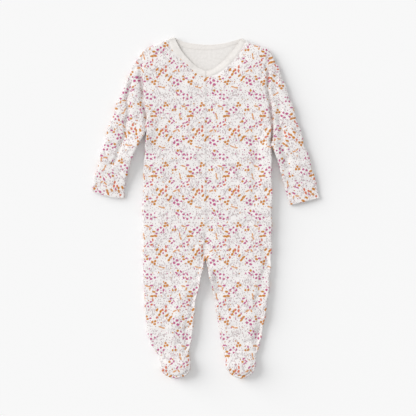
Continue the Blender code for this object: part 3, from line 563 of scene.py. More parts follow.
def unrest(places: Places) -> Array:
    """The height of the long uneven waves.

    Args:
        places: points in plan.

    Returns:
        Their height at each, in metres.
    """
    bend, across, along = 9 * MM, 31 * MM, 27 * MM  # how far they are bent, and over what lengths
    drift = bend * np.stack([np.sin(places[:, 1] / across + 1), np.sin(places[:, 0] / along + 2)], axis=1)
    moved = places + drift
    total = np.zeros(len(places))
    for wave in UNREST:
        angle = math.radians(wave.turn)
        run = moved @ np.array([math.cos(angle), math.sin(angle)])
        total += wave.height * MM * np.sin(2 * math.pi * run / (wave.length * MM) + wave.phase)
    return total


def seam_dip(points: Line, depth: float) -> Crease:
    """The small groove that a seam pulls into the cloth."""
    return Crease(points, (depth,) * len(points), SEAM_WIDTH, SEAM_WIDTH)


@dataclass(frozen=True)
class Wrinkle:
    """One short soft dent, or a bump where its depth is below zero; in millimetres and degrees."""

    x: float
    y: float
    length: float
    turn: float
    depth: float
    width: float
    bow: float = 0.12  # how far its ends bend aside, as a share of its length

    def lift(self, places: Places) -> Array:
        """How much the dent lifts the cloth.

        Args:
            places: points in plan.

        Returns:
            The lift at each, in metres.
        """
        away = (places - np.array([self.x, self.y]) * MM) / MM
        angle = math.radians(self.turn)
        along = away @ np.array([math.cos(angle), math.sin(angle)]) / (self.length / 2)
        across = away @ np.array([-math.sin(angle), math.cos(angle)])
        across = (across - self.bow * self.length * along**2) / (self.width / 2)
        bell = np.cos(math.pi / 2 * np.clip(np.abs(along), 0, 1)) ** 2
        return -self.depth * MM * bell * np.cos(math.pi / 2 * np.clip(np.abs(across), 0, 1)) ** 2


# Folds on the front, by region. The wearer's right is at -x.
FOLDS = (
    # right sleeve: it drops beside the armhole, and a long fold runs from shoulder to cuff
    Crease(((-112, 244), (-111.5, 224), (-111, 204), (-108.5, 182), (-105.5, 160), (-103, 140)),
           (0, 3.4, 3.6, 3.6, 3.0, 1.6), 3, 6),
    Crease(((-129, 242), (-131, 218), (-134, 192), (-135, 170), (-136, 150), (-140, 132), (-145, 114),
            (-149, 98), (-158, 80), (-165, 62)),
           (0, 2.6, 3.0, 3.4, 3.6, 3.8, 3.6, 3.4, 2.4, 0), 6, 6),
    Crease(((-121, 226), (-121, 200), (-124, 172), (-124, 146), (-130, 118), (-137, 92), (-144, 64)),
           (0, -0.6, -0.7, -0.6, -0.7, -0.5, 0), 10, 9),
    Crease(((-143, 206), (-148, 176), (-154, 150), (-161, 122), (-169, 96), (-177, 70)),
           (0, -0.4, -0.5, -0.3, -0.5, 0), 8, 8),
    # left sleeve
    Crease(((107, 252), (107.5, 234), (108.8, 212), (110.6, 190), (114.2, 170), (116, 150), (115.6, 128),
            (114.2, 106)),
           (0, 3.2, 2.8, 2.6, 2.5, 2.5, 2.3, 1.8), 3.2, 5),
    Crease(((122, 246), (123, 222), (126, 192), (130, 168), (131, 146), (134, 122), (138, 96),
            (143, 70), (148, 48)),
           (0, 1.4, 1.2, 1.5, 2.2, 2.2, 1.7, 1.2, 0), 5, 11),
    Crease(((131, 232), (138, 204), (145, 176), (149, 150), (153, 122), (159, 94), (166, 64)),
           (0, -0.5, -0.6, -0.6, -0.5, -0.4, 0), 10, 9),
    Crease(((112, 272), (114, 263), (112, 250)), (0.6, 2.2, 0), 8, 9),
    Crease(((122, 262), (128, 246), (131, 232)), (0, 1.3, 0), 6, 7),
    # from the left armhole down the side and the leg
    Crease(((82, 150), (84, 120), (86, 80), (86, 50), (84, 20), (78, -6), (73, -26), (78, -50)),
           (0, 0.8, 1.5, 1.8, 1.4, 1.1, 1.0, 0), 14, 8),
    Crease(((94, -34), (100, -62), (104, -88), (103, -112), (95, -136), (90, -160), (89, -184),
            (94, -206), (86, -228), (88, -246)),
           (0, 1.1, 1.7, 1.7, 1.7, 1.8, 1.7, 2.0, 2.0, 1.4), 17, 8),
    Crease(((99, -198), (96, -212), (89, -227), (79, -238)), (0, 2.4, 2.8, 0), 14, 5),
    # right leg: the cloth steps down to a flat strip along its inner side
    Crease(((-6, -70), (-9, -92), (-12, -120), (-18, -150), (-26, -180), (-31, -204), (-34, -224),
            (-34, -244), (-31, -258)),
           (0, 1.2, 2.0, 2.0, 1.6, 1.6, 1.5, 1.2, 0.6), 20, 6),
    Crease(((-24, -100), (-30, -124), (-40, -150), (-48, -180), (-54, -204), (-56, -226), (-50, -246)),
           (0, -0.7, -1.1, -1.2, -1.2, -0.9, 0), 14, 18),
    # the crotch, pulled down between the legs
    Crease(((0, -34), (-1, -56), (-1, -94)), (0, 1.8, 3.6), 14, 5),
    Crease(((5, -88), (16, -112), (26, -136), (30, -156)), (0.8, 0.9, 0.7, 0), 8, 8),
    # the front lies lower along the neck
    Crease(((-62, 296), (-52, 278), (-38, 262), (-18, 246), (0, 238)), (1.2, 1.3, 1.4, 1.5, 1.3), 30, 30),
    Crease(((0, 238), (18, 246), (38, 261), (52, 277), (64, 295)), (1.5, 3.0, 3.5, 3.2, 2.2), 36, 36),
    Crease(((-84, 200), (-50, 199), (-18, 196), (12, 198), (38, 201)), (0, 0.35, 0.45, 0.4, 0), 6, 6),
)

# The narrow slits where the sleeve's cloth is pressed against the body's, right on the seams.
SLITS = (
    Crease(((-110.5, 236), (-110.5, 218), (-109.5, 197), (-107, 178), (-104, 155), (-102, 136)),
           (0, 5.0, 5.6, 5.6, 4.4, 2.0), 2.6, 3.2),
    Crease(((107, 234), (108.5, 212), (110.5, 190), (114, 170), (116, 150), (115.5, 128), (114, 109)),
           (0, 3.6, 5.4, 7.0, 7.6, 8.6, 10.0), 2.8, 3.6),
)

DENTS = table(
    Wrinkle,
    # right sleeve
    (-114, 262, 14, 60, 1.5, 8), (-124, 240, 16, 20, 1.5, 9), (-139, 188, 18, 35, 0.8, 7),
    (-150, 164, 16, 20, -0.7, 10), (-162, 134, 14, 30, 1.1, 8), (-166, 108, 16, 24, 1.0, 8),
    (-118, 152, 26, 8, 0.8, 8), (-114, 132, 24, -6, 0.9, 8), (-124, 100, 22, 20, 0.7, 8),
    (-164, 74, 22, 16, 1.0, 9), (-150, 62, 24, -20, 0.6, 9), (-176, 54, 16, 70, 0.8, 8),
    (-158, 44, 22, 75, 0.6, 9), (-184, 60, 12, 20, 0.6, 7),
    # left sleeve
    (118, 206, 14, 10, 0.9, 8), (124, 178, 18, -35, 0.7, 8), (129, 150, 16, 10, 0.9, 10),
    (142, 198, 20, -48, 0.6, 9), (163, 129, 16, -10, 1.1, 8), (166, 86, 14, -20, 0.8, 8),
    (126, 110, 16, 0, 0.7, 7), (138, 82, 18, -14, 0.9, 8), (160, 46, 40, -6, 0.55, 8),
    (150, 24, 16, 60, 0.8, 8), (186, 27, 20, 8, 0.6, 8), (176, 68, 22, -60, 0.5, 10),
    # shoulders and chest
    (-84, 268, 22, 20, 0.8, 9), (84, 262, 24, -30, 0.8, 9), (96, 224, 18, 20, 0.8, 9),
    (-92, 224, 20, -30, 0.7, 10), (-40, 218, 18, 30, 0.6, 9), (-92, 160, 22, 14, 0.6, 9),
    (98, 130, 22, 30, 0.8, 9), (-88, 124, 26, -12, 0.6, 9), (26, 164, 24, 60, 0.6, 11),
    (-26, 160, 24, -50, 0.6, 11), (-62, 76, 30, 14, 0.5, 9), (-22, 56, 22, 40, 0.6, 11),
    (40, 62, 22, 60, 0.6, 10), (14, 44, 20, -50, 0.6, 9), (104, 82, 26, 16, 0.7, 9),
    # the sides, the hips and the crotch
    (-94, 36, 22, -8, 0.6, 8), (-92, -6, 30, 6, 0.7, 8), (-58, -10, 44, 4, 0.45, 8),
    (-88, -34, 30, -6, 0.7, 8), (-60, -30, 26, 10, 0.5, 8), (-96, -54, 20, 12, 0.7, 8),
    (104, -18, 24, 10, 0.6, 9), (70, 2, 20, 0, 0.8, 9), (106, -42, 18, -10, 0.7, 8),
    (-24, -44, 26, 24, 0.7, 9), (34, -38, 24, -24, 0.7, 9), (8, -54, 18, 10, 0.6, 8),
    (-16, -66, 22, 30, 0.6, 8), (20, -72, 26, -14, 0.6, 8),
    # right leg
    (-62, -92, 30, 6, 0.5, 9), (-90, -110, 24, 30, 0.8, 9), (-60, -126, 20, 10, 0.6, 9),
    (-88, -142, 20, -12, 0.7, 8), (-52, -160, 24, 40, 0.5, 10), (-94, -176, 18, 20, 0.7, 8),
    (-76, -190, 26, -16, 0.6, 9), (-21, -144, 16, 40, 1.3, 6), (-26, -170, 15, 34, 1.2, 5),
    (-29, -190, 18, 30, 1.7, 6), (-28, -207, 18, 26, 1.8, 6), (-32, -224, 20, 20, 1.8, 6),
    (-33, -242, 16, 14, 1.5, 6), (-60, -214, 26, 14, 0.8, 8), (-86, -216, 20, -34, 0.9, 8),
    (-50, -236, 22, 10, 0.9, 7), (-76, -238, 20, 30, 0.9, 7),
    # left leg
    (34, -108, 26, 70, 0.6, 9), (56, -122, 28, -8, 0.5, 10), (78, -128, 18, 30, 0.7, 9),
    (52, -168, 24, 16, 0.6, 9), (74, -178, 18, 60, 0.7, 9), (34, -176, 22, -24, 0.8, 8),
    (46, -204, 26, -16, 0.8, 8), (70, -208, 20, 24, 0.8, 8), (94, -190, 14, -20, 1.0, 7),
    (42, -226, 22, 12, 0.9, 7), (70, -232, 26, -14, 1.0, 7), (90, -222, 16, 30, 1.0, 7),
    (38, -246, 14, 60, 1.1, 7),
    # feet
    (-70, -262, 16, 70, 0.9, 6), (-48, -264, 18, 96, 0.7, 6), (-38, -274, 14, 60, 0.9, 6),
    (-58, -282, 14, 84, 0.8, 5), (48, -268, 16, 70, 0.9, 5), (56, -276, 18, 84, 1.1, 5),
    (66, -276, 18, 98, 1.1, 5), (76, -270, 16, 112, 1.0, 5),
)


@dataclass(frozen=True)
class SoftEdge:
    """A stretch of the silhouette where the cloth slopes down from farther in; in millimetres."""

    points: Line
    roll: float  # how much farther in it slopes on this line
    reach: float  # and how far from the line that has died away

    def more(self, places: Places) -> Array:
        """How much wider the cloth rolls down near this stretch."""
        near = np.abs(path_reach(places, Curve(self.points).line(6 * MM))[0])
        return self.roll * MM * (1 - ease(near / (self.reach * MM)))


SOFT_EDGES = (
    SoftEdge(((-10, -126), (-17, -163), (-21, -203), (-25, -232), (-27, -256), (-26, -282)), 10, 24),
    SoftEdge(((96, -222), (91, -248), (88, -266), (84, -284)), 9, 24),
    SoftEdge(((124, 262), (134, 238), (146, 206), (154, 182)), 6, 16),
)

# Where the rolled edge stands higher, below zero, or lies lower than elsewhere.
EDGE_LEVELS = (
    # both armpits, where the cloth of sleeve and body is pushed together
    Crease(((-104, 146), (-108, 124), (-118, 104), (-126, 80), (-130, 50), (-132, 20)),
           (-4, -9, -9, -6, -3, 0), 28, 28),
    Crease(((114, 124), (116, 104), (120, 80), (122, 50), (123, 10), (122, -60)),
           (-5, -9, -8, -5, -2, 0), 28, 28),
    # between the legs
    Crease(((3, -100), (2, -114), (1, -134), (2, -158), (4, -184)), (-4, -9, -9.5, -7, 0), 22, 24),
    Crease(((-8, -116), (-15, -150), (-21, -185), (-24, -215), (-27, -245), (-27, -266)),
           (-1, -3, -3, -2.4, -1.4, 0), 14, 14),
    # the outer edge of the left sleeve
    Crease(((128, 256), (148, 200), (166, 150), (184, 90), (198, 30)), (0.8, 2.2, 2.4, 2.4, 1.6), 18, 18),
)


@dataclass(frozen=True)
class Stray:
    """A wavy shift of places in plan. Its waves run along each axis and are bent; in millimetres."""

    size: float
    x_wave: float
    x_bend: float
    y_wave: float
    y_bend: float
    swing: float = 1.0  # how strongly the waves of x are bent

    def shift(self, x: Array, y: Array) -> Array:
        """How far places with these coordinates move."""
        x_turn = y / self.x_wave + self.swing * np.sin(x / self.x_bend)
        return self.size * np.stack([np.sin(x_turn), np.sin(x / self.y_wave + np.sin(y / self.y_bend))], 1)


STRAYS = (Stray(1.9, 7.3, 23, 8.1, 19, 1.4), Stray(0.8, 2.9, 9, 3.3, 7))


def strayed(places: Places) -> Places:
    """The places moved a little, so that no fold runs quite straight."""
    x, y = places[:, 0] / MM, places[:, 1] / MM
    return places + sum(stray.shift(x, y) for stray in STRAYS) * MM


class Relief:
    """The heights of the garment's top and of its underside, over the plan."""

    neighbours = (-2, -1, 0, 1, 2)  # pieces of the silhouette tried round the nearest one

    def __init__(self, sides: Sequence[SidePlan]) -> None:
        """Lays out the silhouette and every fold.

        Args:
            sides: both halves of the garment.
        """
        chains = [chain for side in sides for chain in self.silhouette(side)]
        self.starts = np.concatenate([chain[:-1] for chain in chains])
        self.ends = np.concatenate([chain[1:] for chain in chains])
        middles = (self.starts + self.ends) / 2
        self.tree = kdtree.KDTree(len(middles))
        for i, middle in enumerate(middles):
            self.tree.insert((middle[0], middle[1], 0.0), i)
        self.tree.balance()
        self.seam_lifts = [item for side in sides for item in self.seams(side)] + list(SLITS)
        ends = [outer_ends(side.sleeve[-1:]) + inner_ends(side.sleeve[-1:]) for side in sides]
        self.hems = [np.array(side.world(end)) * MM for side, end in zip(sides, ends)]

    @staticmethod
    def silhouette(side: SidePlan) -> list[Array]:
        """The lines where the top rolls down to the underside.

        Args:
            side: the outline of one half.

        Returns:
            One line to the sleeve's hem, and one from there round the armpit and the leg.
        """
        fine = 1 * MM
        body, inner_body = body_edges(side)
        sleeve, inner_sleeve = sleeve_edges(side)
        foot, inner_foot = edges_of(side.foot, side.sign)
        last = len(side.body) - 1
        shoulder = [side.neck_edge[0]] + inner_ends(side.body[:1]) + outer_ends(side.body[:1])
        upper = np.concatenate([np.array(side.world(shoulder)) * MM, sleeve.line(fine)[1:]])
        toe = toe_curve(side, foot, inner_foot)(np.linspace(0, 1, 60))
        lower = np.concatenate([
            inner_sleeve.line(fine)[::-1],
            body.line(fine, side.armhole_end, last)[1:],
            foot.line(fine)[1:],
            toe[1:],
            inner_foot.line(fine)[-2::-1],
            inner_body.line(fine, side.crotch, last)[-2::-1],
        ])
        return [upper, lower]

    @staticmethod
    def seams(side: SidePlan) -> list[Crease | Puckers]:
        """The grooves and gathers of the seams.

        Args:
            side: the outline of one half.

        Returns:
            Everything that they lift or lower.
        """
        armhole = side.world(outer_ends(side.body[: side.armhole_end + 1]))
        neck = side.world(inner_ends(side.body[: side.front_corner + 1]))
        row = side.foot[0]
        between = [((row.outer_x + row.inner_x) / 2, row.outer_y)]
        ankle = side.world(outer_ends([row]) + between + inner_ends([row]))
        toe = outer_ends(side.foot[1:]) + [side.toe_tip] + inner_ends(side.foot[:0:-1])
        middle = np.mean(toe, axis=0)
        rim = [p + unit(middle - p) * side.toe_rim for p in np.array(toe)]
        return [
            seam_dip(armhole, 0.9),
            Puckers(armhole, 0.22, 6, 11, 0.2),
            seam_dip(neck, 0.7),
            Puckers(neck, 0.2, 5, 8, 0.5),
            seam_dip(ankle, 1.0),
            Puckers(ankle, 0.5, 6, 7.5, 0.1),
            Puckers(side.world(outer_ends(side.body[side.armhole_end :])), 0.3, 6, 13, 0.8),
            Puckers(side.world(inner_ends(side.body[side.crotch :])), 0.35, 6, 12, 0.4),
            Puckers(side.world(toe), 0.75, 7, 6.5, 0.3),
            Crease(side.world(rim), RIM_DEPTHS, RIM_WIDTH, RIM_WIDTH),
        ]

    def edge_distance(self, places: Places) -> Array:
        """How far places lie from the silhouette.

        Args:
            places: points in plan.

        Returns:
            The distance of each, in metres.
        """
        nearest = np.array([self.tree.find((*place, 0.0))[1] for place in places])
        best = np.full(len(places), np.inf)
        for shift in self.neighbours:
            i = np.clip(nearest + shift, 0, len(self.starts) - 1)
            step = self.ends[i] - self.starts[i]
            away = places - self.starts[i]
            size = np.maximum(np.sum(step * step, axis=1), 1e-18)
            share = np.clip(np.sum(away * step, axis=1) / size, 0, 1)
            best = np.minimum(best, np.linalg.norm(away - share[:, None] * step, axis=1))
        return best

    def kept(self, places: Places) -> Array:
        """How much of its height the cloth keeps, which is less near the hems of the sleeves."""
        near = np.min([np.abs(path_reach(places, hem)[0]) for hem in self.hems], axis=0)
        on_sleeve = ease((np.abs(places[:, 0]) - ARM_X) / ARM_FADE)
        return 1 - CUFF_SINK * on_sleeve * (1 - ease(near / CUFF_REACH))

    def seam_level(self, places: Places) -> Array:
        """The height of the silhouette's seam, which rises round the toes."""
        toe = ease((ANKLE_Y - places[:, 1]) / FOOT_LENGTH)
        return (SEAM + (TOE_SEAM - SEAM) * toe + self.raised(places)) * self.kept(places)

    @staticmethod
    def raised(places: Places) -> Array:
        """How much higher than elsewhere the rolled edge stands near these places."""
        return sum(item.lift(places) for item in EDGE_LEVELS)

    def top(self, places: Places) -> Array:
        """The height of the top.

        Args:
            places: points in plan.

        Returns:
            The height of the cloth's outer face at each.
        """
        reach = self.edge_distance(places)
        toe = ease((ANKLE_Y - places[:, 1]) / TOE_RUN)
        seam = self.seam_level(places)
        flat = FLAT + (TOE_TOP - PUFF - FLAT) * toe + self.raised(places)
        roll = EDGE_ROLL + (TOE_ROLL - EDGE_ROLL) * toe
        for soft in SOFT_EDGES:
            roll = roll + soft.more(places)
        keep = self.kept(places)
        level = seam + (flat * keep - seam) * quarter(reach / roll)
        level += PUFF * keep * quarter(reach / PUFF_REACH)
        lift = unrest(places)
        moved = strayed(places)
        across, along = SWAY_LENGTHS
        uneven = 1 + FOLD_SWAY * np.sin(moved[:, 0] / across + moved[:, 1] / along)
        for item in FOLDS + DENTS:
            lift += FOLD_GAIN * item.lift(moved) * uneven
        for item in self.seam_lifts:
            lift += item.lift(places)
        height = level + lift * ease(reach / LIFT_FADE)
        return np.maximum(height, np.minimum(level, LOWEST))

    def under(self, places: Places) -> Array:
        """The height of the underside's outer face, which lies on the table."""
        return self.seam_level(places) * (1 - quarter(self.edge_distance(places) / UNDER_ROLL))


def roll_shares(
    outer: Shape, inner: Shape, rows: Array, roll: float, middle: int, turns: int = 9
) -> Array:
    """Columns that are close together where the cloth rolls over an edge.

    Args:
        outer: the panel's outer edge, by station.
        inner: its inner edge.
        rows: the stations of its rows.
        roll: how far in the cloth rolls.
        middle: how many columns lie between the rolls.
        turns: how many lie on each of them.

    Returns:
        Each row's shares of its width, from 0 at the outer edge to 1.
    """
    width = np.linalg.norm(outer(rows) - inner(rows), axis=1)
    turn = 1 - np.cos(np.linspace(0, math.pi / 2, turns))
    low = np.minimum(roll / width, 0.3)[:, None] * turn
    between = np.linspace(0, 1, middle + 2)[1:-1]
    start, end = low[:, -1:], 1 - low[:, -1:]
    return np.concatenate([low, start + (end - start) * between, 1 - low[:, ::-1]], axis=1)


def plan_grid(
    outer: Shape,
    inner: Shape,
    rows: Array,
    shares: Array,
    first: Optional[Shape] = None,
    first_reach: float = 4.0,
    last: Optional[Shape] = None,
    last_reach: float = 2.0,
) -> Array:
    """The plan of a panel between two edges, whose first and last rows may be curves.

    Args:
        outer: the outer edge, by station.
        inner: the inner edge, by station.
        rows: the stations of the rows.
        shares: each row's width shares from the outer edge.
        first: the first row, by share, or None where it is straight.
        first_reach: stations over which it fades out.
        last: the last row, by share, or None.
        last_reach: stations over which it fades in.

    Returns:
        A grid of points in plan.
    """
    a, b = outer(rows)[:, None, :], inner(rows)[:, None, :]
    places = a + shares[..., None] * (b - a)
    for curve, at, reach, way in ((first, 0, first_reach, 1), (last, -1, last_reach, -1)):
        if curve is None:
            continue
        fade = 1 - ease(way * (rows - rows[at]) / reach)
        straight = a[at] + shares[..., None] * (b[at] - a[at])
        places = places + fade[:, None, None] * (curve(shares) - straight)
    return places


def grid_normals(grid: Array, facing: int) -> Array:
    """Directions square to a grid of points, upwards where `facing` is 1, downwards where it is -1."""
    normals = unit(np.cross(np.gradient(grid, axis=1), np.gradient(grid, axis=0)))
    return normals * facing * np.sign(normals[len(grid) // 2, grid.shape[1] // 2, 2])


def cloth_plan(grid: Array, middle: Optional[int] = None) -> Array:
    """The flat pattern of a panel: its plan, let out where the cloth rolls over an edge.

    Args:
        grid: the panel's points.
        middle: the column that stays in place, or None for the middle one.

    Returns:
        Flat coordinates in metres.
    """
    middle = grid.shape[1] // 2 if middle is None else middle
    step = np.diff(grid, axis=1)
    flat_step = step[..., :2]
    extra = np.linalg.norm(step, axis=2) - np.linalg.norm(flat_step, axis=2)
    way = unit(grid[:, -1, :2] - grid[:, 0, :2])[:, None, :]
    out = np.concatenate([np.zeros_like(extra[:, :1]), np.cumsum(extra, axis=1)], axis=1)
    out -= out[:, middle : middle + 1]
    return grid[..., :2] + out[..., None] * way


def domed_plan(grid: Array) -> Array:
    """The flat pattern of a panel that also rolls down at its last row.

    Args:
        grid: the panel's points.

    Returns:
        Flat coordinates in metres.
    """
    flat = cloth_plan(grid)
    start = len(grid) // 3
    step = np.diff(grid, axis=0)
    extra = np.linalg.norm(step, axis=2) - np.linalg.norm(step[..., :2], axis=2)
    extra[:start] = 0
    out = np.concatenate([np.zeros_like(extra[:1]), np.cumsum(extra, axis=0)])
    way = unit(grid[-1, :, :2] - grid[start, :, :2])[None]
    return flat + out[..., None] * way


def rolled_under(
    edge: Array, up: Array, out: Array, flat: Array, way: Array
) -> tuple[list[Array], list[Array]]:
    """The rows of points round a turned edge.

    Args:
        edge: the points where the turn begins.
        up: the direction square to the cloth at each.
        out: the direction in which it leaves the panel.
        flat: the flat coordinates of the edge.
        way: the direction in which they go on.

    Returns:
        A list of rows, and as long a list of their flat coordinates.
    """
    centre = edge - up * FOLD_RADIUS
    angles = np.linspace(0, math.pi, FOLD_STEPS)[1:]
    rows = [centre + FOLD_RADIUS * (up * math.cos(a) + out * math.sin(a)) for a in angles]
    return rows, [flat + way * FOLD_RADIUS * a for a in angles]


def turned_edge(pair: Pair, facing: int, depth: float) -> Pair:
    """Folds a panel back under itself along its last column.

    Args:
        pair: its points and their flat coordinates.
        facing: 1 for face up, -1 for face down.
        depth: how far the turned part reaches.

    Returns:
        The longer grid and its flat coordinates.
    """
    grid, flat = pair
    normals = grid_normals(grid, facing)
    out = unit((grid[:, -1] - grid[:, -2]) * [1, 1, 0])
    edge, up = grid[:, -1], normals[:, -1]
    out = unit(out - up * np.sum(out * up, axis=1, keepdims=True))
    way = unit(flat[:, -1] - flat[:, -2])
    columns, flats = rolled_under(edge, up, out, flat[:, -1], way)
    run = np.linalg.norm(grid[:, ::-1] - edge[:, None], axis=2).mean(0)
    for j in range(1, grid.shape[1]):
        if run[j] > depth:
            break
        columns.append(grid[:, -1 - j] - 2 * FOLD_RADIUS * normals[:, -1 - j])
        flats.append(flat[:, -1] + way * (math.pi * FOLD_RADIUS + run[j]))
    return (
        np.concatenate([grid, np.stack(columns, axis=1)], axis=1),
        np.concatenate([flat, np.stack(flats, axis=1)], axis=1),
    )


def tucked(pair: Pair, facing: int) -> Pair:
    """Turns a panel's last column down into its seam.

    Args:
        pair: its points and their flat coordinates.
        facing: 1 for face up, -1 for face down.

    Returns:
        The longer grid and its flat coordinates.
    """
    grid, flat = pair
    normals = grid_normals(grid, facing)
    inward = unit((grid[:, -2] - grid[:, -1]) * [1, 1, 0])
    end = grid[:, -1] - normals[:, -1] * TUCK + inward * TUCK_LEAN
    away = flat[:, -1] + unit(flat[:, -1] - flat[:, -2]) * TUCK
    return (
        np.concatenate([grid, end[:, None]], axis=1),
        np.concatenate([flat, away[:, None]], axis=1),
    )


def swapped(pair: Pair) -> Pair:
    """A grid and its flat coordinates with rows and columns exchanged."""
    return pair[0].transpose(1, 0, 2), pair[1].transpose(1, 0, 2)


def mirrored(pair: Pair) -> Pair:
    """A grid and its flat coordinates with the columns in reverse."""
    return pair[0][:, ::-1], pair[1][:, ::-1]


@dataclass(frozen=True)
class Borders:
    """How each border of a panel ends, and how deep a turned one is folded."""

    outer: Hold = Hold.SEWN
    inner: Hold = Hold.SEWN
    first: Hold = Hold.SEWN
    last: Hold = Hold.SEWN
    depth: float = 12 * MM

    def apply(self, grid: Array, flat: Array, facing: int) -> Pair:
        """Ends every border of a panel.

        Args:
            grid: the panel's points.
            flat: their flat coordinates.
            facing: 1 for face up, -1 for face down.

        Returns:
            The larger grid and its flat coordinates.
        """

        def end(pair: Pair, hold: Hold) -> Pair:
            """The pair with its last column ended."""
            if hold is Hold.TURNED:
                return turned_edge(pair, facing, self.depth)
            return tucked(pair, facing) if hold is Hold.SEWN else pair

        pair = end((grid, flat), self.inner)
        pair = end(mirrored(pair), self.outer)
        pair = end(swapped(mirrored(pair)), self.last)
        pair = end(mirrored(pair), self.first)
        return swapped(mirrored(pair))


@dataclass
class Sheet:
    """One cut piece of cloth, made of one or more grids of points."""

    name: str
    facing: int  # 1 where it faces up, -1 where it lies face down
    face: Material
    reverse: Material
    grids: list[Pair] = field(default_factory=list)

    def add(self, grid: Array, flat: Array, column: Optional[int] = None) -> None:
        """Adds a grid of points.

        Args:
            grid: the points.
            flat: their flat coordinates.
            column: a column that faces the sheet's way, or None for the middle one.
        """
        row = len(grid) // 2
        column = grid.shape[1] // 2 if column is None else column
        here = grid[row, column]
        upward = np.cross(grid[row, column + 1] - here, grid[row + 1, column] - here)[2]
        if upward * self.facing < 0:
            grid, flat = grid[::-1], flat[::-1]
        self.grids.append((grid, flat))

    def build(self) -> Piece:
        """Makes the cloth with its thickness.

        Returns:
            Its finished object.
        """
        mesh = bmesh.new()
        layer = mesh.loops.layers.uv.new(CLOTH_UV)
        for grid, flat in self.grids:
            points = [[mesh.verts.new(p) for p in row] for row in grid]
            for i in range(grid.shape[0] - 1):
                for j in range(grid.shape[1] - 1):
                    corners = ((i, j), (i, j + 1), (i + 1, j + 1), (i + 1, j))
                    face = mesh.faces.new([points[a][b] for a, b in corners])
                    for loop, (a, b) in zip(face.loops, corners):
                        loop[layer].uv = flat[a, b]
        bmesh.ops.remove_doubles(mesh, verts=mesh.verts, dist=WELD)
        piece = placed_mesh(mesh, self.name)
        piece.data.materials.append(self.face)
        piece.data.materials.append(self.reverse)
        piece.data.shade_smooth()
        wall = piece.modifiers.new("thickness", "SOLIDIFY")
        wall.thickness = CLOTH
        wall.offset = -1
        wall.material_offset = 1
        wall.material_offset_rim = 1
        return realised(piece)

    def cut(self) -> tuple[float, float, float]:
        """Measures the flat pattern.

        Returns:
            Its width, length and area, in metres.
        """
        flats = np.concatenate([flat.reshape(-1, 2) for _, flat in self.grids])
        width, length = flats.max(0) - flats.min(0)
        area = 0.0
        for _, flat in self.grids:
            p, q, r, s = flat[:-1, :-1], flat[:-1, 1:], flat[1:, 1:], flat[1:, :-1]
            one, two = r - p, s - q
            area += float(np.abs(one[..., 0] * two[..., 1] - one[..., 1] * two[..., 0]).sum() / 2)
        return float(width), float(length), area


def placed_mesh(mesh: bmesh.types.BMesh, name: str) -> Piece:
    """Puts a finished mesh into the scene.

    Args:
        mesh: the mesh, which is freed.
        name: the name of its object and its data.

    Returns:
        The object.
    """
    data = bpy.data.meshes.new(name)
    mesh.to_mesh(data)
    mesh.free()
    piece = bpy.data.objects.new(name, data)
    bpy.context.scene.collection.objects.link(piece)
    return piece


def realised(piece: Piece) -> Piece:
    """Turns a piece with its modifiers into a plain mesh, smooth but for its real edges.

    Args:
        piece: the piece.

    Returns:
        The same piece.
    """
    graph = bpy.context.evaluated_depsgraph_get()
    data = bpy.data.meshes.new_from_object(piece.evaluated_get(graph))
    piece.modifiers.clear()
    old = piece.data
    piece.data = data
    data.name = piece.name
    bpy.data.meshes.remove(old)
    data.set_sharp_from_angle(angle=SHARP)
    return piece


class Shader:
    """Adds nodes to a tree and links them, so that a pattern reads from top to bottom."""

    def __init__(self, tree: bpy.types.NodeTree) -> None:
        """Works on this tree."""
        self.tree = tree

    def feed(self, entry: Socket, value: object) -> None:
        """Links a socket to an input, or sets the input to a plain value."""
        if isinstance(value, Socket):
            self.tree.links.new(value, entry)
        else:
            entry.default_value = value

    def add(self, kind: str, inputs: Optional[dict] = None, **settings: object) -> Node:
        """Adds a node.

        Args:
            kind: the node's type, without its ShaderNode prefix.
            inputs: values or sockets, by the input's name or number.
            settings: the node's own properties.

        Returns:
            The node.
        """
        node = self.tree.nodes.new("ShaderNode" + kind)
        for name, value in settings.items():
            setattr(node, name, value)
        for key, value in (inputs or {}).items():
            self.feed(node.inputs[key], value)
        return node

    def math(self, operation: str, a: object, b: object = 0.0, c: object = 0.0) -> Socket:
        """A Math node's result."""
        return self.add("Math", {0: a, 1: b, 2: c}, operation=operation).outputs[0]

    def vector(self, operation: str, a: object, b: object, c: object = (0.0, 0.0, 0.0)) -> Socket:
        """A Vector Math node's result."""
        return self.add("VectorMath", {0: a, 1: b, 2: c}, operation=operation).outputs[0]

    def step(
        self, value: Socket, low: float, high: float, to_low: object = 0.0, to_high: object = 1.0
    ) -> Socket:
        """A smooth step of a value between two limits."""
        inputs = {"Value": value, "From Min": low, "From Max": high, "To Min": to_low, "To Max": to_high}
        return self.add("MapRange", inputs, interpolation_type="SMOOTHSTEP", clamp=True).outputs["Result"]

    def mix(self, share: object, a: object, b: object) -> Socket:
        """Colour b over colour a by a share."""
        return self.add("Mix", {0: share, 6: a, 7: b}, data_type="RGBA", blend_type="MIX").outputs[2]

    def noise(self, place: Socket, scale: float, detail: float) -> Node:
        """A noise texture."""
        return self.add("TexNoise", {"Vector": place, "Scale": scale, "Detail": detail})

    def cells(self, place: Socket, scale: float, randomness: float) -> Node:
        """A plane cell texture, by the distance from each cell's point."""
        inputs = {"Vector": place, "Scale": scale, "Randomness": randomness}
        return self.add("TexVoronoi", inputs, voronoi_dimensions="2D", feature="F1")


class Ink(Enum):
    """The colours of the print."""

    ORANGE = (0.6, 0.21, 0.004, 1.0)
    MAUVE = (0.53, 0.09, 0.245, 1.0)
    CORAL = (0.68, 0.16, 0.08, 1.0)
    PEACH = (0.72, 0.33, 0.13, 1.0)
    GREIGE = (0.42, 0.33, 0.34, 1.0)


ORANGE, MAUVE, CORAL, PEACH, GREIGE = Ink


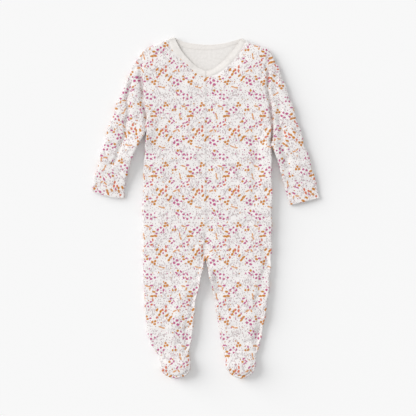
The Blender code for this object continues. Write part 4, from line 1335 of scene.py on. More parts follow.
@dataclass(frozen=True)
class Spot:
    """One petal, bud, leaf or stem of a motif, in millimetres and degrees."""

    ink: Ink
    x: float
    y: float
    length: float
    width: float
    turn: float = 0.0


class Motif(Enum):
    """The small flowers and sprigs of the print, each as its spots."""

    BLOOM = table(Spot, (MAUVE, 0.4, 3.9, 4.4, 3.7, 10), (MAUVE, -4.2, -0.9, 3.9, 3.6, 60),
        (MAUVE, 2.8, -2.6, 4.6, 3.6, -10), (MAUVE, 7.6, 3.2, 3.0, 2.7), (MAUVE, -6.0, 6.2, 2.6, 2.5))
    BERRIES = table(Spot, (MAUVE, -6.6, -2.6, 3.3, 3.0), (MAUVE, -2.0, 2.7, 3.9, 3.3, 20),
        (MAUVE, 4.2, 4.4, 3.1, 3.2), (MAUVE, 7.4, -1.0, 4.2, 2.8, 50), (MAUVE, 1.6, -3.9, 2.9, 2.7))
    TRIO = table(Spot, (ORANGE, -2.7, 1.8, 3.9, 3.7), (ORANGE, 2.5, 2.1, 4.0, 3.6, 30),
        (ORANGE, 0.1, -2.5, 3.8, 3.6))
    PAIR = table(Spot, (ORANGE, -2.2, -1.6, 5.6, 3.2, 30), (ORANGE, 2.5, 1.6, 5.8, 3.3, 25),
        (ORANGE, -3.2, 6.8, 5.4, 3.1, 22))
    ROW = table(Spot, (CORAL, -7.2, 0.2, 3.5, 3.3), (ORANGE, -0.6, -0.5, 4.8, 3.6, -12),
        (ORANGE, 5.2, 0.3, 4.8, 3.3, 14), (ORANGE, 4.3, 7.3, 5.6, 3.4, -4))
    TWIN = table(Spot, (CORAL, 0.1, 3.2, 3.0, 5.0, 4), (CORAL, 0.5, -3.4, 3.4, 4.6, -5),
        (CORAL, -5.2, -2.4, 3.2, 4.2, 10), (MAUVE, -3.6, -8.0, 3.0, 2.8))
    DASHES = table(Spot, (CORAL, -7.4, -0.6, 4.2, 2.2, 20), (MAUVE, -1.4, 1.3, 4.2, 2.2, 5),
        (MAUVE, 4.9, -0.1, 3.4, 2.6, -15), (CORAL, 9.6, 0.8, 4.6, 2.5, 58), (MAUVE, -3.2, -3.9, 2.7, 2.5),
        (CORAL, 3.4, -4.8, 4.4, 2.8, -16))
    SEEDS = table(Spot, (ORANGE, -1.9, 2.1, 3.4, 3.1, 40), (ORANGE, 0.9, -1.9, 4.0, 3.4, 10),
        (MAUVE, 5.0, 1.1, 4.0, 2.6, 34))
    BUDS = table(Spot, (ORANGE, -4.5, 0.4, 3.6, 3.4), (MAUVE, -0.4, 4.4, 4.2, 2.6, 8),
        (MAUVE, -1.6, -3.6, 4.6, 2.4, 16), (MAUVE, 2.6, -1.8, 2.2, 3.6, 20))
    LEAVES = table(Spot, (PEACH, -3.4, -1.3, 7.2, 2.3, 24), (PEACH, 3.4, -1.5, 5.0, 2.4, -62),
        (MAUVE, 1.6, 4.6, 5.2, 2.6, 48))
    SPRIG = table(Spot, (PEACH, -2.6, 0.2, 5.6, 2.2, -28), (PEACH, 2.6, -2.6, 5.2, 2.4, -12))
    STEM = table(Spot, (GREIGE, 0, 0, 17, 0.8, 62), (GREIGE, 3.4, 2.6, 5.2, 2.4, -18),
        (GREIGE, -3.4, 1.2, 4.8, 2.2, 128), (GREIGE, 4.6, 6.6, 4.2, 2.2, 30))
    TENDRIL = table(Spot, (GREIGE, -3, 1.6, 12, 0.7, 24), (GREIGE, 5.2, 1.7, 8, 0.7, -38),
        (GREIGE, -7.2, -2.6, 3.6, 2, 60))


@dataclass(frozen=True)
class Placed:
    """A motif in the repeat: its place in millimetres and its turn in degrees."""

    motif: Motif
    x: float
    y: float
    turn: float = 0.0


REPEAT = (63.0, 104.0)  # width and length of the print's repeat, in millimetres
CHART = table(
    Placed, (Motif.BLOOM, 13, 9, -8), (Motif.PAIR, 1, 16, 20), (Motif.TRIO, 37, 9, 15),
    (Motif.SPRIG, 50, 2, 12), (Motif.SEEDS, 25, 17, -20), (Motif.ROW, 46, 24, 58),
    (Motif.LEAVES, 13, 31, 6), (Motif.STEM, 36, 29, 0), (Motif.TWIN, 57, 33, -6),
    (Motif.DASHES, 27, 42, 34), (Motif.TENDRIL, 44, 42, 30), (Motif.BUDS, 5, 47, 24),
    (Motif.PAIR, 36, 55, -30), (Motif.SPRIG, 20, 55, -50), (Motif.STEM, 57, 54, 70),
    (Motif.BERRIES, 46, 64, 20), (Motif.SEEDS, 9, 66, 60), (Motif.LEAVES, 28, 71, -40),
    (Motif.TRIO, 57, 75, 190), (Motif.TENDRIL, 12, 80, -20), (Motif.BERRIES, 31, 88, 150),
    (Motif.STEM, 49, 91, -40), (Motif.BUDS, 17, 95, -60),
)


@dataclass(frozen=True)
class Scatter:
    """Small dots strewn over the ground, one in each cell of a loose grid."""

    cell: float  # width of a cell in metres
    smallest: float  # radius of a dot, as a share of its cell
    largest: float
    kept: float  # share of the cells that have one
    weight: float  # how much of the ground a dot covers up
    one: tuple
    other: tuple
    looseness: float = 0.85
    blur: float = 0.05  # how soft a dot's edge is, to either side
    split: tuple[float, float] = (0.4, 0.6)  # chances between which one colour turns into the other

    def over(self, shader: Shader, place: Socket, colour: object) -> Socket:
        """The dots over a colour.

        Args:
            shader: where the nodes go.
            place: the cloth's own coordinates.
            colour: what lies below them.

        Returns:
            The socket of the colour.
        """
        cells = shader.cells(place, 1 / self.cell, self.looseness)
        chance = shader.add("SeparateColor", {0: cells.outputs["Color"]})
        radius = shader.step(chance.outputs[0], 0.0, 1.0, self.smallest, self.largest)
        beyond = shader.math("SUBTRACT", cells.outputs["Distance"], radius)
        cover = shader.step(beyond, -self.blur, self.blur, 1.0, 0.0)
        on = shader.step(chance.outputs[1], 1 - self.kept, 1.02 - self.kept, 0.0, self.weight)
        tint = shader.mix(shader.step(chance.outputs[2], *self.split), self.one, self.other)
        return shader.mix(shader.math("MULTIPLY", cover, on), colour, tint)


@dataclass(frozen=True)
class Undergrowth:
    """Pale leaves in loose groves, behind the flowers."""

    ink: tuple = (0.47, 0.37, 0.39, 1.0)
    turn: float = 0.75  # the way the leaves point
    slimness: float = 0.52
    density: float = 330.0
    size: tuple[float, float] = (0.24, 0.44)  # where a leaf's edge begins to fade, and where it ends
    weight: float = 0.5  # how much of the ground a leaf covers up
    grove_scale: float = 64.0
    grove: tuple[float, float] = (0.47, 0.56)

    def over(self, shader: Shader, place: Socket, colour: object) -> Socket:
        """The leaves over a colour.

        Args:
            shader: where the nodes go.
            place: the cloth's own coordinates.
            colour: what lies below them.

        Returns:
            The socket of the colour.
        """
        shape = {"Vector": place, "Scale": (1.0, self.slimness, 1.0), "Rotation": (0.0, 0.0, self.turn)}
        turned = shader.add("Mapping", shape).outputs[0]
        leaf = shader.cells(turned, self.density, 1.0)
        grove = shader.step(shader.noise(place, self.grove_scale, 1.0).outputs[0], *self.grove)
        leaves = shader.step(leaf.outputs["Distance"], *self.size, self.weight, 0.0)
        return shader.mix(shader.math("MULTIPLY", leaves, grove), colour, self.ink)


@dataclass(frozen=True)
class DitsyPrint:
    """Scattered small flowers, sprigs and seeds on a pale ground."""

    ground: tuple = (0.9, 0.875, 0.86, 1.0)
    chart: tuple = CHART
    repeat: tuple = REPEAT
    wobble: float = 0.9 * MM  # how far the hand-drawn shapes stray
    wobble_scale: float = 170.0
    layers: tuple = (
        Undergrowth(),
        Scatter(4.7 * MM, 0.14, 0.21, 0.94, 0.66, (0.36, 0.27, 0.28, 1.0), (0.46, 0.2, 0.24, 1.0)),
        Scatter(7.9 * MM, 0.1, 0.17, 0.32, 0.9, MAUVE.value, ORANGE.value),
    )
    grow: float = 1.12  # all spots are this many times as large as in their table
    edge: float = 1.3  # how far each dome reaches beyond its spot's edge
    rim: tuple[float, float] = (0.06, 0.33)  # heights of a dome between which the ink begins
    wash_scale: float = 420.0
    thinnest: float = 0.85  # how much ink is left where it is thinnest
    faint: float = 0.55  # and how much the stems have

    def colour(self, shader: Shader, place: Socket) -> Socket:
        """The print's colour.

        Args:
            shader: where the nodes go.
            place: the cloth's own coordinates.

        Returns:
            The socket of the colour.
        """
        stray = shader.noise(place, self.wobble_scale, 1.0)
        shift = shader.vector("SUBTRACT", stray.outputs["Color"], (0.5, 0.5, 0.5))
        shift = shader.vector("MULTIPLY", shift, (self.wobble * 2, self.wobble * 2, 0.0))
        drawn = shader.vector("ADD", place, shift)
        colour = self.ground
        for layer in self.layers:
            colour = layer.over(shader, drawn, colour)
        domes = self.spots(shader, drawn)
        wash = shader.noise(place, self.wash_scale, 2.0)
        thin = shader.step(wash.outputs[0], 0.3, 0.7, self.thinnest, 1.0)
        for ink in (GREIGE, PEACH, CORAL, MAUVE, ORANGE):
            cover = shader.math("MULTIPLY", shader.step(domes[ink], *self.rim), thin)
            cover = shader.math("MULTIPLY", cover, self.faint if ink is GREIGE else 1.0)
            colour = shader.mix(cover, colour, ink.value)
        return colour

    def spots(self, shader: Shader, place: Socket) -> dict[Ink, Socket]:
        """A dome over every spot: 1 in its middle, 0 from just beyond its edge.

        Args:
            shader: where the nodes go.
            place: the cloth's own coordinates.

        Returns:
            The highest dome at each place, by ink.
        """
        tile = (self.repeat[0] * MM / 2, self.repeat[1] * MM / 2, 1.0)
        half = self.edge * self.grow / 2 * MM
        domes: dict[Ink, Socket] = {}
        for placed in self.chart:
            away = shader.vector("SUBTRACT", place, (placed.x * MM, placed.y * MM, 0.0))
            wrap = shader.vector("WRAP", away, tile, tuple(-t for t in tile))
            turn = math.radians(placed.turn)
            for spot in placed.motif.value:
                x = spot.x * math.cos(turn) - spot.y * math.sin(turn)
                y = spot.x * math.sin(turn) + spot.y * math.cos(turn)
                dome = shader.add("TexGradient", {"Vector": wrap}, gradient_type="SPHERICAL")
                dome.texture_mapping.vector_type = "TEXTURE"
                dome.texture_mapping.translation = (x * MM, y * MM, 0.0)
                dome.texture_mapping.rotation = (0.0, 0.0, turn + math.radians(spot.turn))
                dome.texture_mapping.scale = (half * spot.length, half * spot.width, 1.0)
                height = dome.outputs["Fac"]
                if spot.ink in domes:
                    height = shader.math("MAXIMUM", domes[spot.ink], height)
                domes[spot.ink] = height
        return domes


def new_material(
    name: str, dress: Callable[[Shader], tuple], roughness: float, sheen: float, specular: float = 0.15
) -> Material:
    """Makes a material.

    Args:
        name: the material's name.
        dress: adds its nodes and gives the sockets of its colour and, if it has one, its normal.
        roughness: how matt it is.
        sheen: the weight of its soft nap.
        specular: the strength of its gloss.

    Returns:
        The material.
    """
    made = bpy.data.materials.new(name)
    made.use_nodes = True
    surface = made.node_tree.nodes["Principled BSDF"]
    surface.inputs["Roughness"].default_value = roughness
    surface.inputs["Specular IOR Level"].default_value = specular
    surface.inputs["Sheen Weight"].default_value = sheen
    surface.inputs["Sheen Roughness"].default_value = 0.6
    shader = Shader(made.node_tree)
    for slot, socket in zip(("Base Color", "Normal"), dress(shader)):
        shader.feed(surface.inputs[slot], socket)
    return made


def darker(colour: tuple, share: float) -> tuple:
    """A colour with this share of its light."""
    return tuple(share * c for c in colour[:3]) + (1.0,)


@dataclass(frozen=True)
class Knit:
    """The relief of fine jersey, from its own flat coordinates."""

    wale: float = 0.85 * MM  # width of a column of stitches
    course: float = 0.65 * MM  # height of a row
    depth: float = 0.16 * MM
    strength: float = 0.75
    lean: float = 1.6  # how far the legs of a stitch lag behind its middle, in radians
    loop: float = 0.25  # depth of the rows against that of the columns
    fuzz: float = 0.55  # height of the fine fibres against that of the stitches
    slub: float = 0.9  # and of the yarn's uneven thickness
    purl: bool = False

    def normal(self, shader: Shader, place: Socket) -> Socket:
        """The bumped normal of the knit.

        Args:
            shader: where the nodes go.
            place: the cloth's own coordinates.

        Returns:
            The socket of the normal.
        """
        parts = shader.add("SeparateXYZ", {0: place})
        x, y = (parts.outputs[1], parts.outputs[0]) if self.purl else parts.outputs[:2]
        rib = shader.math("ABSOLUTE", shader.math("SINE", shader.math("MULTIPLY", x, math.pi / self.wale)))
        lean = shader.math("MULTIPLY", rib, self.lean)
        along = shader.math("MULTIPLY_ADD", y, 2 * math.pi / self.course, lean)
        loop = shader.math("MULTIPLY_ADD", shader.math("SINE", along), self.loop, 1 - self.loop)
        knit = shader.math("MULTIPLY", rib, loop)
        fuzz, slub = shader.noise(place, 900.0, 3.0), shader.noise(place, 130.0, 2.0)
        height = shader.math("MULTIPLY_ADD", fuzz.outputs[0], self.fuzz, knit)
        height = shader.math("MULTIPLY_ADD", slub.outputs[0], self.slub, height)
        bump = {"Height": height, "Distance": self.depth, "Strength": self.strength}
        return shader.add("Bump", bump).outputs[0]


@dataclass(frozen=True)
class PrintedJersey:
    """The right side of the garment's cloth."""

    name: str = "printed_jersey"
    print: DitsyPrint = DitsyPrint()
    knit: Knit = Knit()

    def dress(self, shader: Shader) -> tuple[Socket, Socket]:
        """Its colour and its normal."""
        place = shader.add("UVMap", uv_map=CLOTH_UV).outputs[0]
        return self.print.colour(shader, place), self.knit.normal(shader, place)

    def build(self) -> Material:
        """Makes the material."""
        return new_material(self.name, self.dress, roughness=0.9, sheen=0.03)


@dataclass(frozen=True)
class PlainJersey:
    """Unprinted jersey, for the binding and the inside of the cloth."""

    name: str
    colour: tuple = (0.9, 0.865, 0.83, 1.0)
    knit: Knit = Knit()
    heather_scale: float = 240.0
    darkest: float = 0.93  # light of the darker fibres, as a share

    def dress(self, shader: Shader) -> tuple[Socket, Socket]:
        """Its colour and its normal."""
        place = shader.add("UVMap", uv_map=CLOTH_UV).outputs[0]
        heather = shader.step(shader.noise(place, self.heather_scale, 4.0).outputs[0], 0.3, 0.7)
        colour = shader.mix(heather, darker(self.colour, self.darkest), self.colour)
        return colour, self.knit.normal(shader, place)

    def build(self) -> Material:
        """Makes the material."""
        return new_material(self.name, self.dress, roughness=0.9, sheen=0.05)


@dataclass(frozen=True)
class SewingThread:
    """Off-white sewing thread with its twist, and painted shade between its yarns."""

    name: str = "sewing_thread"
    colour: tuple = (0.84, 0.81, 0.78, 1.0)
    twist_scale: float = 2600.0
    depth: float = 0.1 * MM
    darkest: float = 0.8  # painted shade: the thread's light between the twisted yarns, as a share

    def dress(self, shader: Shader) -> tuple[Socket, Socket]:
        """Its colour and its normal."""
        place = shader.add("TexCoord").outputs["Object"]
        twist = shader.noise(place, self.twist_scale, 2.0).outputs[0]
        # painted shade: the thread is darker where the twist's relief is low
        colour = shader.mix(shader.step(twist, 0.35, 0.65), darker(self.colour, self.darkest), self.colour)
        bump = shader.add("Bump", {"Height": twist, "Distance": self.depth, "Strength": 0.6})
        return colour, bump.outputs[0]

    def build(self) -> Material:
        """Makes the material."""
        return new_material(self.name, self.dress, roughness=0.6, sheen=0.1)


@dataclass(frozen=True)
class Finishes:
    """Every material of the garment."""

    jersey: Material
    reverse: Material
    binding: Material
    thread: Material

    @classmethod
    def make(cls) -> "Finishes":
        """All of them, new."""
        return cls(
            jersey=PrintedJersey().build(),
            reverse=PlainJersey("jersey_reverse", (0.9, 0.87, 0.84, 1.0), Knit(purl=True)).build(),
            binding=PlainJersey("neck_binding").build(),
            thread=SewingThread().build(),
        )

    def cloth(self, name: str, facing: int) -> Sheet:
        """An empty sheet of the printed jersey."""
        return Sheet(f"{name}_cloth", facing, self.jersey, self.reverse)


def declare(sheet: Sheet, nodes: Sequence[str]) -> None:
    """Args:
        sheet: the cloth, with its grids.
        nodes: the solids that it stands for.
    """
    width, length, area = sheet.cut()
    piece = sheet.build()
    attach(piece, "root")
    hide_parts(*nodes)
    LOG.info("%s: cut %.0f x %.0f mm, %.0f cm2, %d faces", piece.name, width / MM, length / MM,
             area * 1e4, len(piece.data.polygons))


def field_grid(places: Array, level: Shape, sunk: Optional[Shape] = None) -> Array:
    """Gives a grid of plan points their heights.

    Args:
        places: the grid in plan.
        level: the height over a list of places.
        sunk: how much lower this piece lies, over the same places.

    Returns:
        The grid of points.
    """
    flat = places.reshape(-1, 2)
    height = level(flat)
    if sunk is not None:
        height = height - sunk(flat)
    return np.concatenate([places, height.reshape(places.shape[:2] + (1,))], axis=2)


def joined_stations(curve: Curve, marks: Sequence[float], spacing: float) -> Array:
    """Stations about this far apart along a curve, with every mark among them."""
    runs = [curve.stations(spacing, a, b)[:-1] for a, b in zip(marks, marks[1:])]
    return np.concatenate(runs + [[marks[-1]]])


@dataclass
class Body:
    """The two fronts with their legs, and the back in one piece."""

    relief: Relief
    finishes: Finishes
    spacing: float = 2.1 * MM  # of the fronts' rows
    back_spacing: float = 2.6  # of the back's rows, in millimetres
    facing_depth: float = 13 * MM  # of the turned front edges

    @staticmethod
    def underlap(places: Places) -> Array:
        """How much lower the wearer's left front lies where the right one covers it."""
        below = 1 - ease(places[:, 0] / UNDERLAP_RISE)
        return UNDERLAP_DEPTH * below * ease((places[:, 1] - UNDERLAP_END) / UNDERLAP_FADE)

    def front(self, side: SidePlan) -> None:
        """Makes one front with its leg: the right one lies over, the left one reaches under it.

        Args:
            side: the outline.
        """
        outer, inner = body_edges(side)
        marks = (0, side.front_corner, side.armhole_end, side.crotch, len(side.body) - 1)
        rows = joined_stations(outer, marks, self.spacing)
        places = plan_grid(outer, inner, rows, roll_shares(outer, inner, rows, EDGE_ROLL, 40))
        grid = field_grid(places, self.relief.top, self.underlap if side is LEFT else None)
        flat = cloth_plan(grid)
        neck, split = np.searchsorted(rows, (side.front_corner, side.crotch))
        chest = Borders(inner=Hold.TURNED, first=Hold.OPEN, last=Hold.OPEN, depth=self.facing_depth)
        sheet = self.finishes.cloth(f"front_{side.name}", 1)
        for part, borders in (
            (slice(0, neck + 1), Borders(last=Hold.OPEN)),
            (slice(neck, split + 1), chest),
            (slice(split, None), Borders(first=Hold.OPEN)),
        ):
            sheet.add(*borders.apply(grid[part], flat[part], 1))
        declare(sheet, [f"front_{side.name}"])

    def back_half(self, side: SidePlan) -> tuple[Array, int]:
        """Lays out half of the back with the back of one leg.

        Args:
            side: the outline.

        Returns:
            Its grid of points, and how many of the rows reach down to the crotch.
        """
        outer, leg_inner = body_edges(side)
        stations, heights = np.array(side.centre).T
        chest, pitch = heights[stations.tolist().index(side.armhole_end)], self.back_spacing
        middle = [np.arange(heights[0], chest, -pitch), np.arange(chest, heights[-1], -pitch), heights[-1:]]
        torso = np.interp(-np.concatenate(middle), -heights, stations)
        legs = outer.stations(pitch * MM, side.crotch, len(side.body) - 1)[1:]
        rows = np.concatenate([torso, legs])

        def inner(at: Array) -> Array:
            """The middle of the back, and below the crotch the inner edge of the leg."""
            centre = np.stack([0 * at, np.interp(at, stations, heights) * MM], axis=-1)
            return np.where((at <= side.crotch)[..., None], centre, leg_inner(at))

        neck = Curve(outer_ends(BACK_NECK[:4] if side is RIGHT else BACK_NECK[:2:-1]))
        on_neck = neck.by_length()
        shoulder, corner = outer(0.0), neck(0.0)
        seam_share = np.linalg.norm(corner - shoulder) / np.linalg.norm(inner(np.zeros(1))[0] - shoulder)

        def top(share: Array) -> Array:
            """The first row: the shoulder seam and then the neck."""
            along = np.clip(share / seam_share, 0, 1)[..., None]
            rest = np.clip((share - seam_share) / (1 - seam_share), 0, 1)
            on_shoulder = shoulder + along * (corner - shoulder)
            return np.where((share <= seam_share)[..., None], on_shoulder, on_neck(rest))

        shares = roll_shares(outer, inner, rows, UNDER_ROLL, 30, 7)
        places = plan_grid(outer, inner, rows, shares, top, 3.0, heel_seam(side).by_length(), 7.5)
        return field_grid(places, self.relief.under), len(torso)

    def back(self) -> None:
        """Makes the back, joined along its middle down to the crotch."""
        sheet = self.finishes.cloth("back", -1)
        for side in (RIGHT, LEFT):
            grid, torso = self.back_half(side)
            flat = cloth_plan(grid)
            flat = flat - (flat[:, -1:] - grid[:, -1:, :2])
            open_middle = Borders(inner=Hold.OPEN, first=Hold.OPEN, last=Hold.OPEN)
            sheet.add(*open_middle.apply(grid[:torso], flat[:torso], -1))
            sheet.add(*Borders(first=Hold.OPEN).apply(grid[torso - 1 :], flat[torso - 1 :], -1))
        declare(sheet, ["back"])


@dataclass
class Sleeve:
    """A sleeve: one cut piece rolled into a flat tube, sewn along its inner edge."""

    relief: Relief
    finishes: Finishes
    side: SidePlan
    spacing: float = 2.1 * MM
    hem: float = 11 * MM
    armhole_reach: float = 2.6  # stations over which the rows still follow the armhole
    hem_reach: float = 1.5  # and over which they follow the hem

    def layer(self, rows: Array, level: Shape, roll: float, middle: int) -> Array:
        """Lays out the top or the under layer.

        Args:
            rows: the stations of its rows.
            level: its height over a list of places.
            roll: how far in the cloth rolls.
            middle: how many columns lie between the rolls.

        Returns:
            Its grid of points, from the outer edge to the inner one.
        """
        outer, inner = sleeve_edges(self.side)
        body, _ = body_edges(self.side)
        start, end = outer(rows[-1]), inner(rows[-1])
        bow = np.array([0, self.side.hem_bow * MM])

        def armhole(share: Array) -> Array:
            """The first row."""
            return body(share * self.side.armhole_end)

        def hem(share: Array) -> Array:
            """The last row."""
            return start + share[..., None] * (end - start) - bow * np.sin(math.pi * share)[..., None]

        shares = roll_shares(outer, inner, rows, roll, middle)
        edges = (armhole, self.armhole_reach, hem, self.hem_reach)
        return field_grid(plan_grid(outer, inner, rows, shares, *edges), level)

    def build(self) -> None:
        """Makes the sleeve with its turned hem."""
        rows = sleeve_edges(self.side)[0].stations(self.spacing)
        top = self.layer(rows, self.relief.top, EDGE_ROLL, 30)
        under = self.layer(rows, self.relief.under, UNDER_ROLL, 24)
        grid = np.concatenate([top[:, ::-1], under[:, 1:]], axis=1)
        fold = top.shape[1]
        sheet = self.finishes.cloth(f"sleeve_{self.side.name}", 1)
        sheet.add(*self.ended(grid, self.unrolled(grid, fold), fold), column=fold // 2)
        declare(sheet, [f"sleeve_{self.side.name}"])

    def unrolled(self, grid: Array, fold: int) -> Array:
        """Works out the flat coordinates, with their second axis along the sleeve.

        Args:
            grid: the ring of points.
            fold: how many of its columns are the top layer's.

        Returns:
            Flat coordinates in metres.
        """
        start = grid[0, fold // 2, :2]
        axis = unit(grid[-1, fold // 2, :2] - start)
        along = (grid[..., :2] - start) @ axis
        across = (grid[..., :2] - start) @ np.array([axis[1], -axis[0]])
        step = np.diff(grid, axis=1)
        extra = np.linalg.norm(step, axis=2) - np.linalg.norm(step[..., :2], axis=2)
        moved = np.diff(across, axis=1)
        sign = np.sign(np.median(moved[:, : fold - 1]))
        moved[:, fold - 1 :] *= -1
        run = moved + sign * extra
        total = np.concatenate([np.zeros_like(run[:, :1]), np.cumsum(run, axis=1)], axis=1)
        total += (across[:, fold // 2] - total[:, fold // 2])[:, None]
        return np.stack([total, -along], axis=2)

    def ended(self, grid: Array, flat: Array, fold: int) -> Pair:
        """Turns the hem in, and tucks the armhole.

        Args:
            grid: the ring of points.
            flat: their flat coordinates.
            fold: how many of its columns are the top layer's.

        Returns:
            The longer grid and its flat coordinates.
        """
        along, across = np.gradient(grid, axis=0), np.gradient(grid, axis=1)
        normals = unit(np.cross(across, along))
        normals *= np.sign(normals[len(grid) // 2, fold // 2, 2])
        out, way = unit(grid[-1] - grid[-2]), unit(flat[-1] - flat[-2])
        rows, flats = rolled_under(grid[-1], normals[-1], out, flat[-1], way)
        depth = np.linalg.norm(grid[::-1, fold // 2] - grid[-1, fold // 2], axis=1)
        for j in range(1, int(np.searchsorted(depth, self.hem))):
            rows.append(grid[-1 - j] - 2 * FOLD_RADIUS * normals[-1 - j])
            flats.append(flat[-1] + way * (math.pi * FOLD_RADIUS + depth[j]))
        head, flat_head = grid[0] - normals[0] * TUCK, flat[0] - unit(flat[1] - flat[0]) * TUCK
        return (
            np.concatenate([head[None], grid, np.stack(rows)]),
            np.concatenate([flat_head[None], flat, np.stack(flats)]),
        )


@dataclass
class Foot:
    """A foot: the upper, puffed over the toes, and the sole under it."""

    relief: Relief
    finishes: Finishes
    side: SidePlan
    upper_rows: int = 46
    heel_rows: int = 26
    sole_rows: int = 30
    upper_roll: float = 12 * MM
    toe_reach: float = 2.5  # stations over which the rows still follow the toes
    heel_reach: float = 1.6  # and over which they follow the heel

    def upper(self) -> None:
        """Makes the top of the foot, from the ankle seam to the toes."""
        name = self.side.name
        outer, inner = edges_of(self.side.foot, self.side.sign)
        rows = (len(self.side.foot) - 1) * np.sin(np.linspace(0, math.pi / 2, self.upper_rows))
        shares = roll_shares(outer, inner, rows, self.upper_roll, 26, 11)
        toes = toe_curve(self.side, outer, inner)
        places = plan_grid(outer, inner, rows, shares, last=toes, last_reach=self.toe_reach)
        grid = field_grid(places, self.relief.top)
        sheet = self.finishes.cloth(f"foot_upper_{name}", 1)
        sheet.add(*Borders().apply(grid, domed_plan(grid), 1))
        declare(sheet, [f"foot_upper_{name}"])

    def sole(self) -> None:
        """Makes the sole from heel to toe."""
        foot_outer, foot_inner = edges_of(self.side.foot, self.side.sign)
        heel = heel_seam(self.side)
        ankle, last = len(self.side.heel) - 1, len(self.side.heel) + len(self.side.foot) - 2
        around = 2 * len(self.side.heel)  # the heel seam's last station

        def outer(at: Array) -> Array:
            """The sole's outer edge."""
            return np.where((at <= ankle)[..., None], heel(ankle - at), foot_outer(at - ankle))

        def inner(at: Array) -> Array:
            """The sole's inner edge."""
            return np.where((at <= ankle)[..., None], heel(around - ankle + at), foot_inner(at - ankle))

        def back(share: Array) -> Array:
            """The first row, round the heel."""
            return heel(ankle + share * (around - 2 * ankle))

        swing = np.sin(np.linspace(0, math.pi / 2, self.sole_rows))
        rows = np.concatenate([np.linspace(0, ankle, self.heel_rows)[:-1], ankle + (last - ankle) * swing])
        shares = roll_shares(outer, inner, rows, UNDER_ROLL, 20, 8)
        toes = toe_curve(self.side, foot_outer, foot_inner)
        places = plan_grid(outer, inner, rows, shares, back, self.heel_reach, toes, self.toe_reach)
        grid = field_grid(places, self.relief.under)
        sheet = self.finishes.cloth(f"sole_{self.side.name}", -1)
        sheet.add(*Borders().apply(grid, domed_plan(grid), -1))
        declare(sheet, [f"sole_{self.side.name}"])


@dataclass
class NeckBinding:
    """The folded strip round the neck, parted at the shoulder seams."""

    relief: Relief
    finishes: Finishes
    spacing: float = 1.6 * MM
    columns: int = 13
    bulge: float = 0.45 * MM
    depth: float = 8.5 * MM  # how far the strip is turned under
    mark: int = 5  # a column that faces the strip's way

    def strip(
        self,
        seam: Array,
        edge: Array,
        level: Shape,
        way: int,
        sunk: Optional[Shape] = None,
        hold: Hold = Hold.SEWN,
    ) -> Pair:
        """A strip between its seam and its free edge.

        Args:
            seam: points along the seam.
            edge: as many points along the free edge.
            level: the height of the cloth that it continues.
            way: 1 for face up, -1 for face down.
            sunk: how much lower it lies, where another piece covers it.
            hold: how its seam ends.

        Returns:
            The strip's grid, with its free edge turned under, and its flat coordinates.
        """
        share = np.linspace(0, 1, self.columns)
        places = seam[:, None] + share[None, :, None] * (edge - seam)[:, None]
        grid = field_grid(places, level, sunk)
        if way > 0:
            grid[..., 2] += self.bulge * np.sin(math.pi * np.clip(share * 1.1, 0, 1))
        flat = cloth_plan(grid, 0)
        return Borders(outer=hold, inner=Hold.TURNED, depth=self.depth).apply(grid, flat, way)

    def front(self, side: SidePlan) -> None:
        """Makes the binding along one front's neck.

        Args:
            side: the outline.
        """
        _, seam = body_edges(side)
        edge = Curve(side.world(side.neck_edge))
        rows = joined_stations(seam, (0, side.front_corner), self.spacing)
        sunk = Body.underlap if side is LEFT else None
        sheet = Sheet(f"neck_band_{side.name}_cloth", 1, self.finishes.binding, self.finishes.reverse)
        sheet.add(*self.strip(seam(rows), edge(rows), self.relief.top, 1, sunk), column=self.mark)
        declare(sheet, [f"neck_band_{side.name}"])

    def back(self) -> None:
        """Makes the binding round the back neck, face down."""
        seam, edge = edges_of(BACK_NECK, 1)
        rows = seam.stations(self.spacing)
        strip = self.strip(seam(rows), edge(rows), self.relief.under, -1, hold=Hold.OPEN)
        sheet = Sheet("neck_band_back_cloth", -1, self.finishes.binding, self.finishes.binding)
        sheet.add(*strip, column=self.mark)
        declare(sheet, ["neck_band_back"])


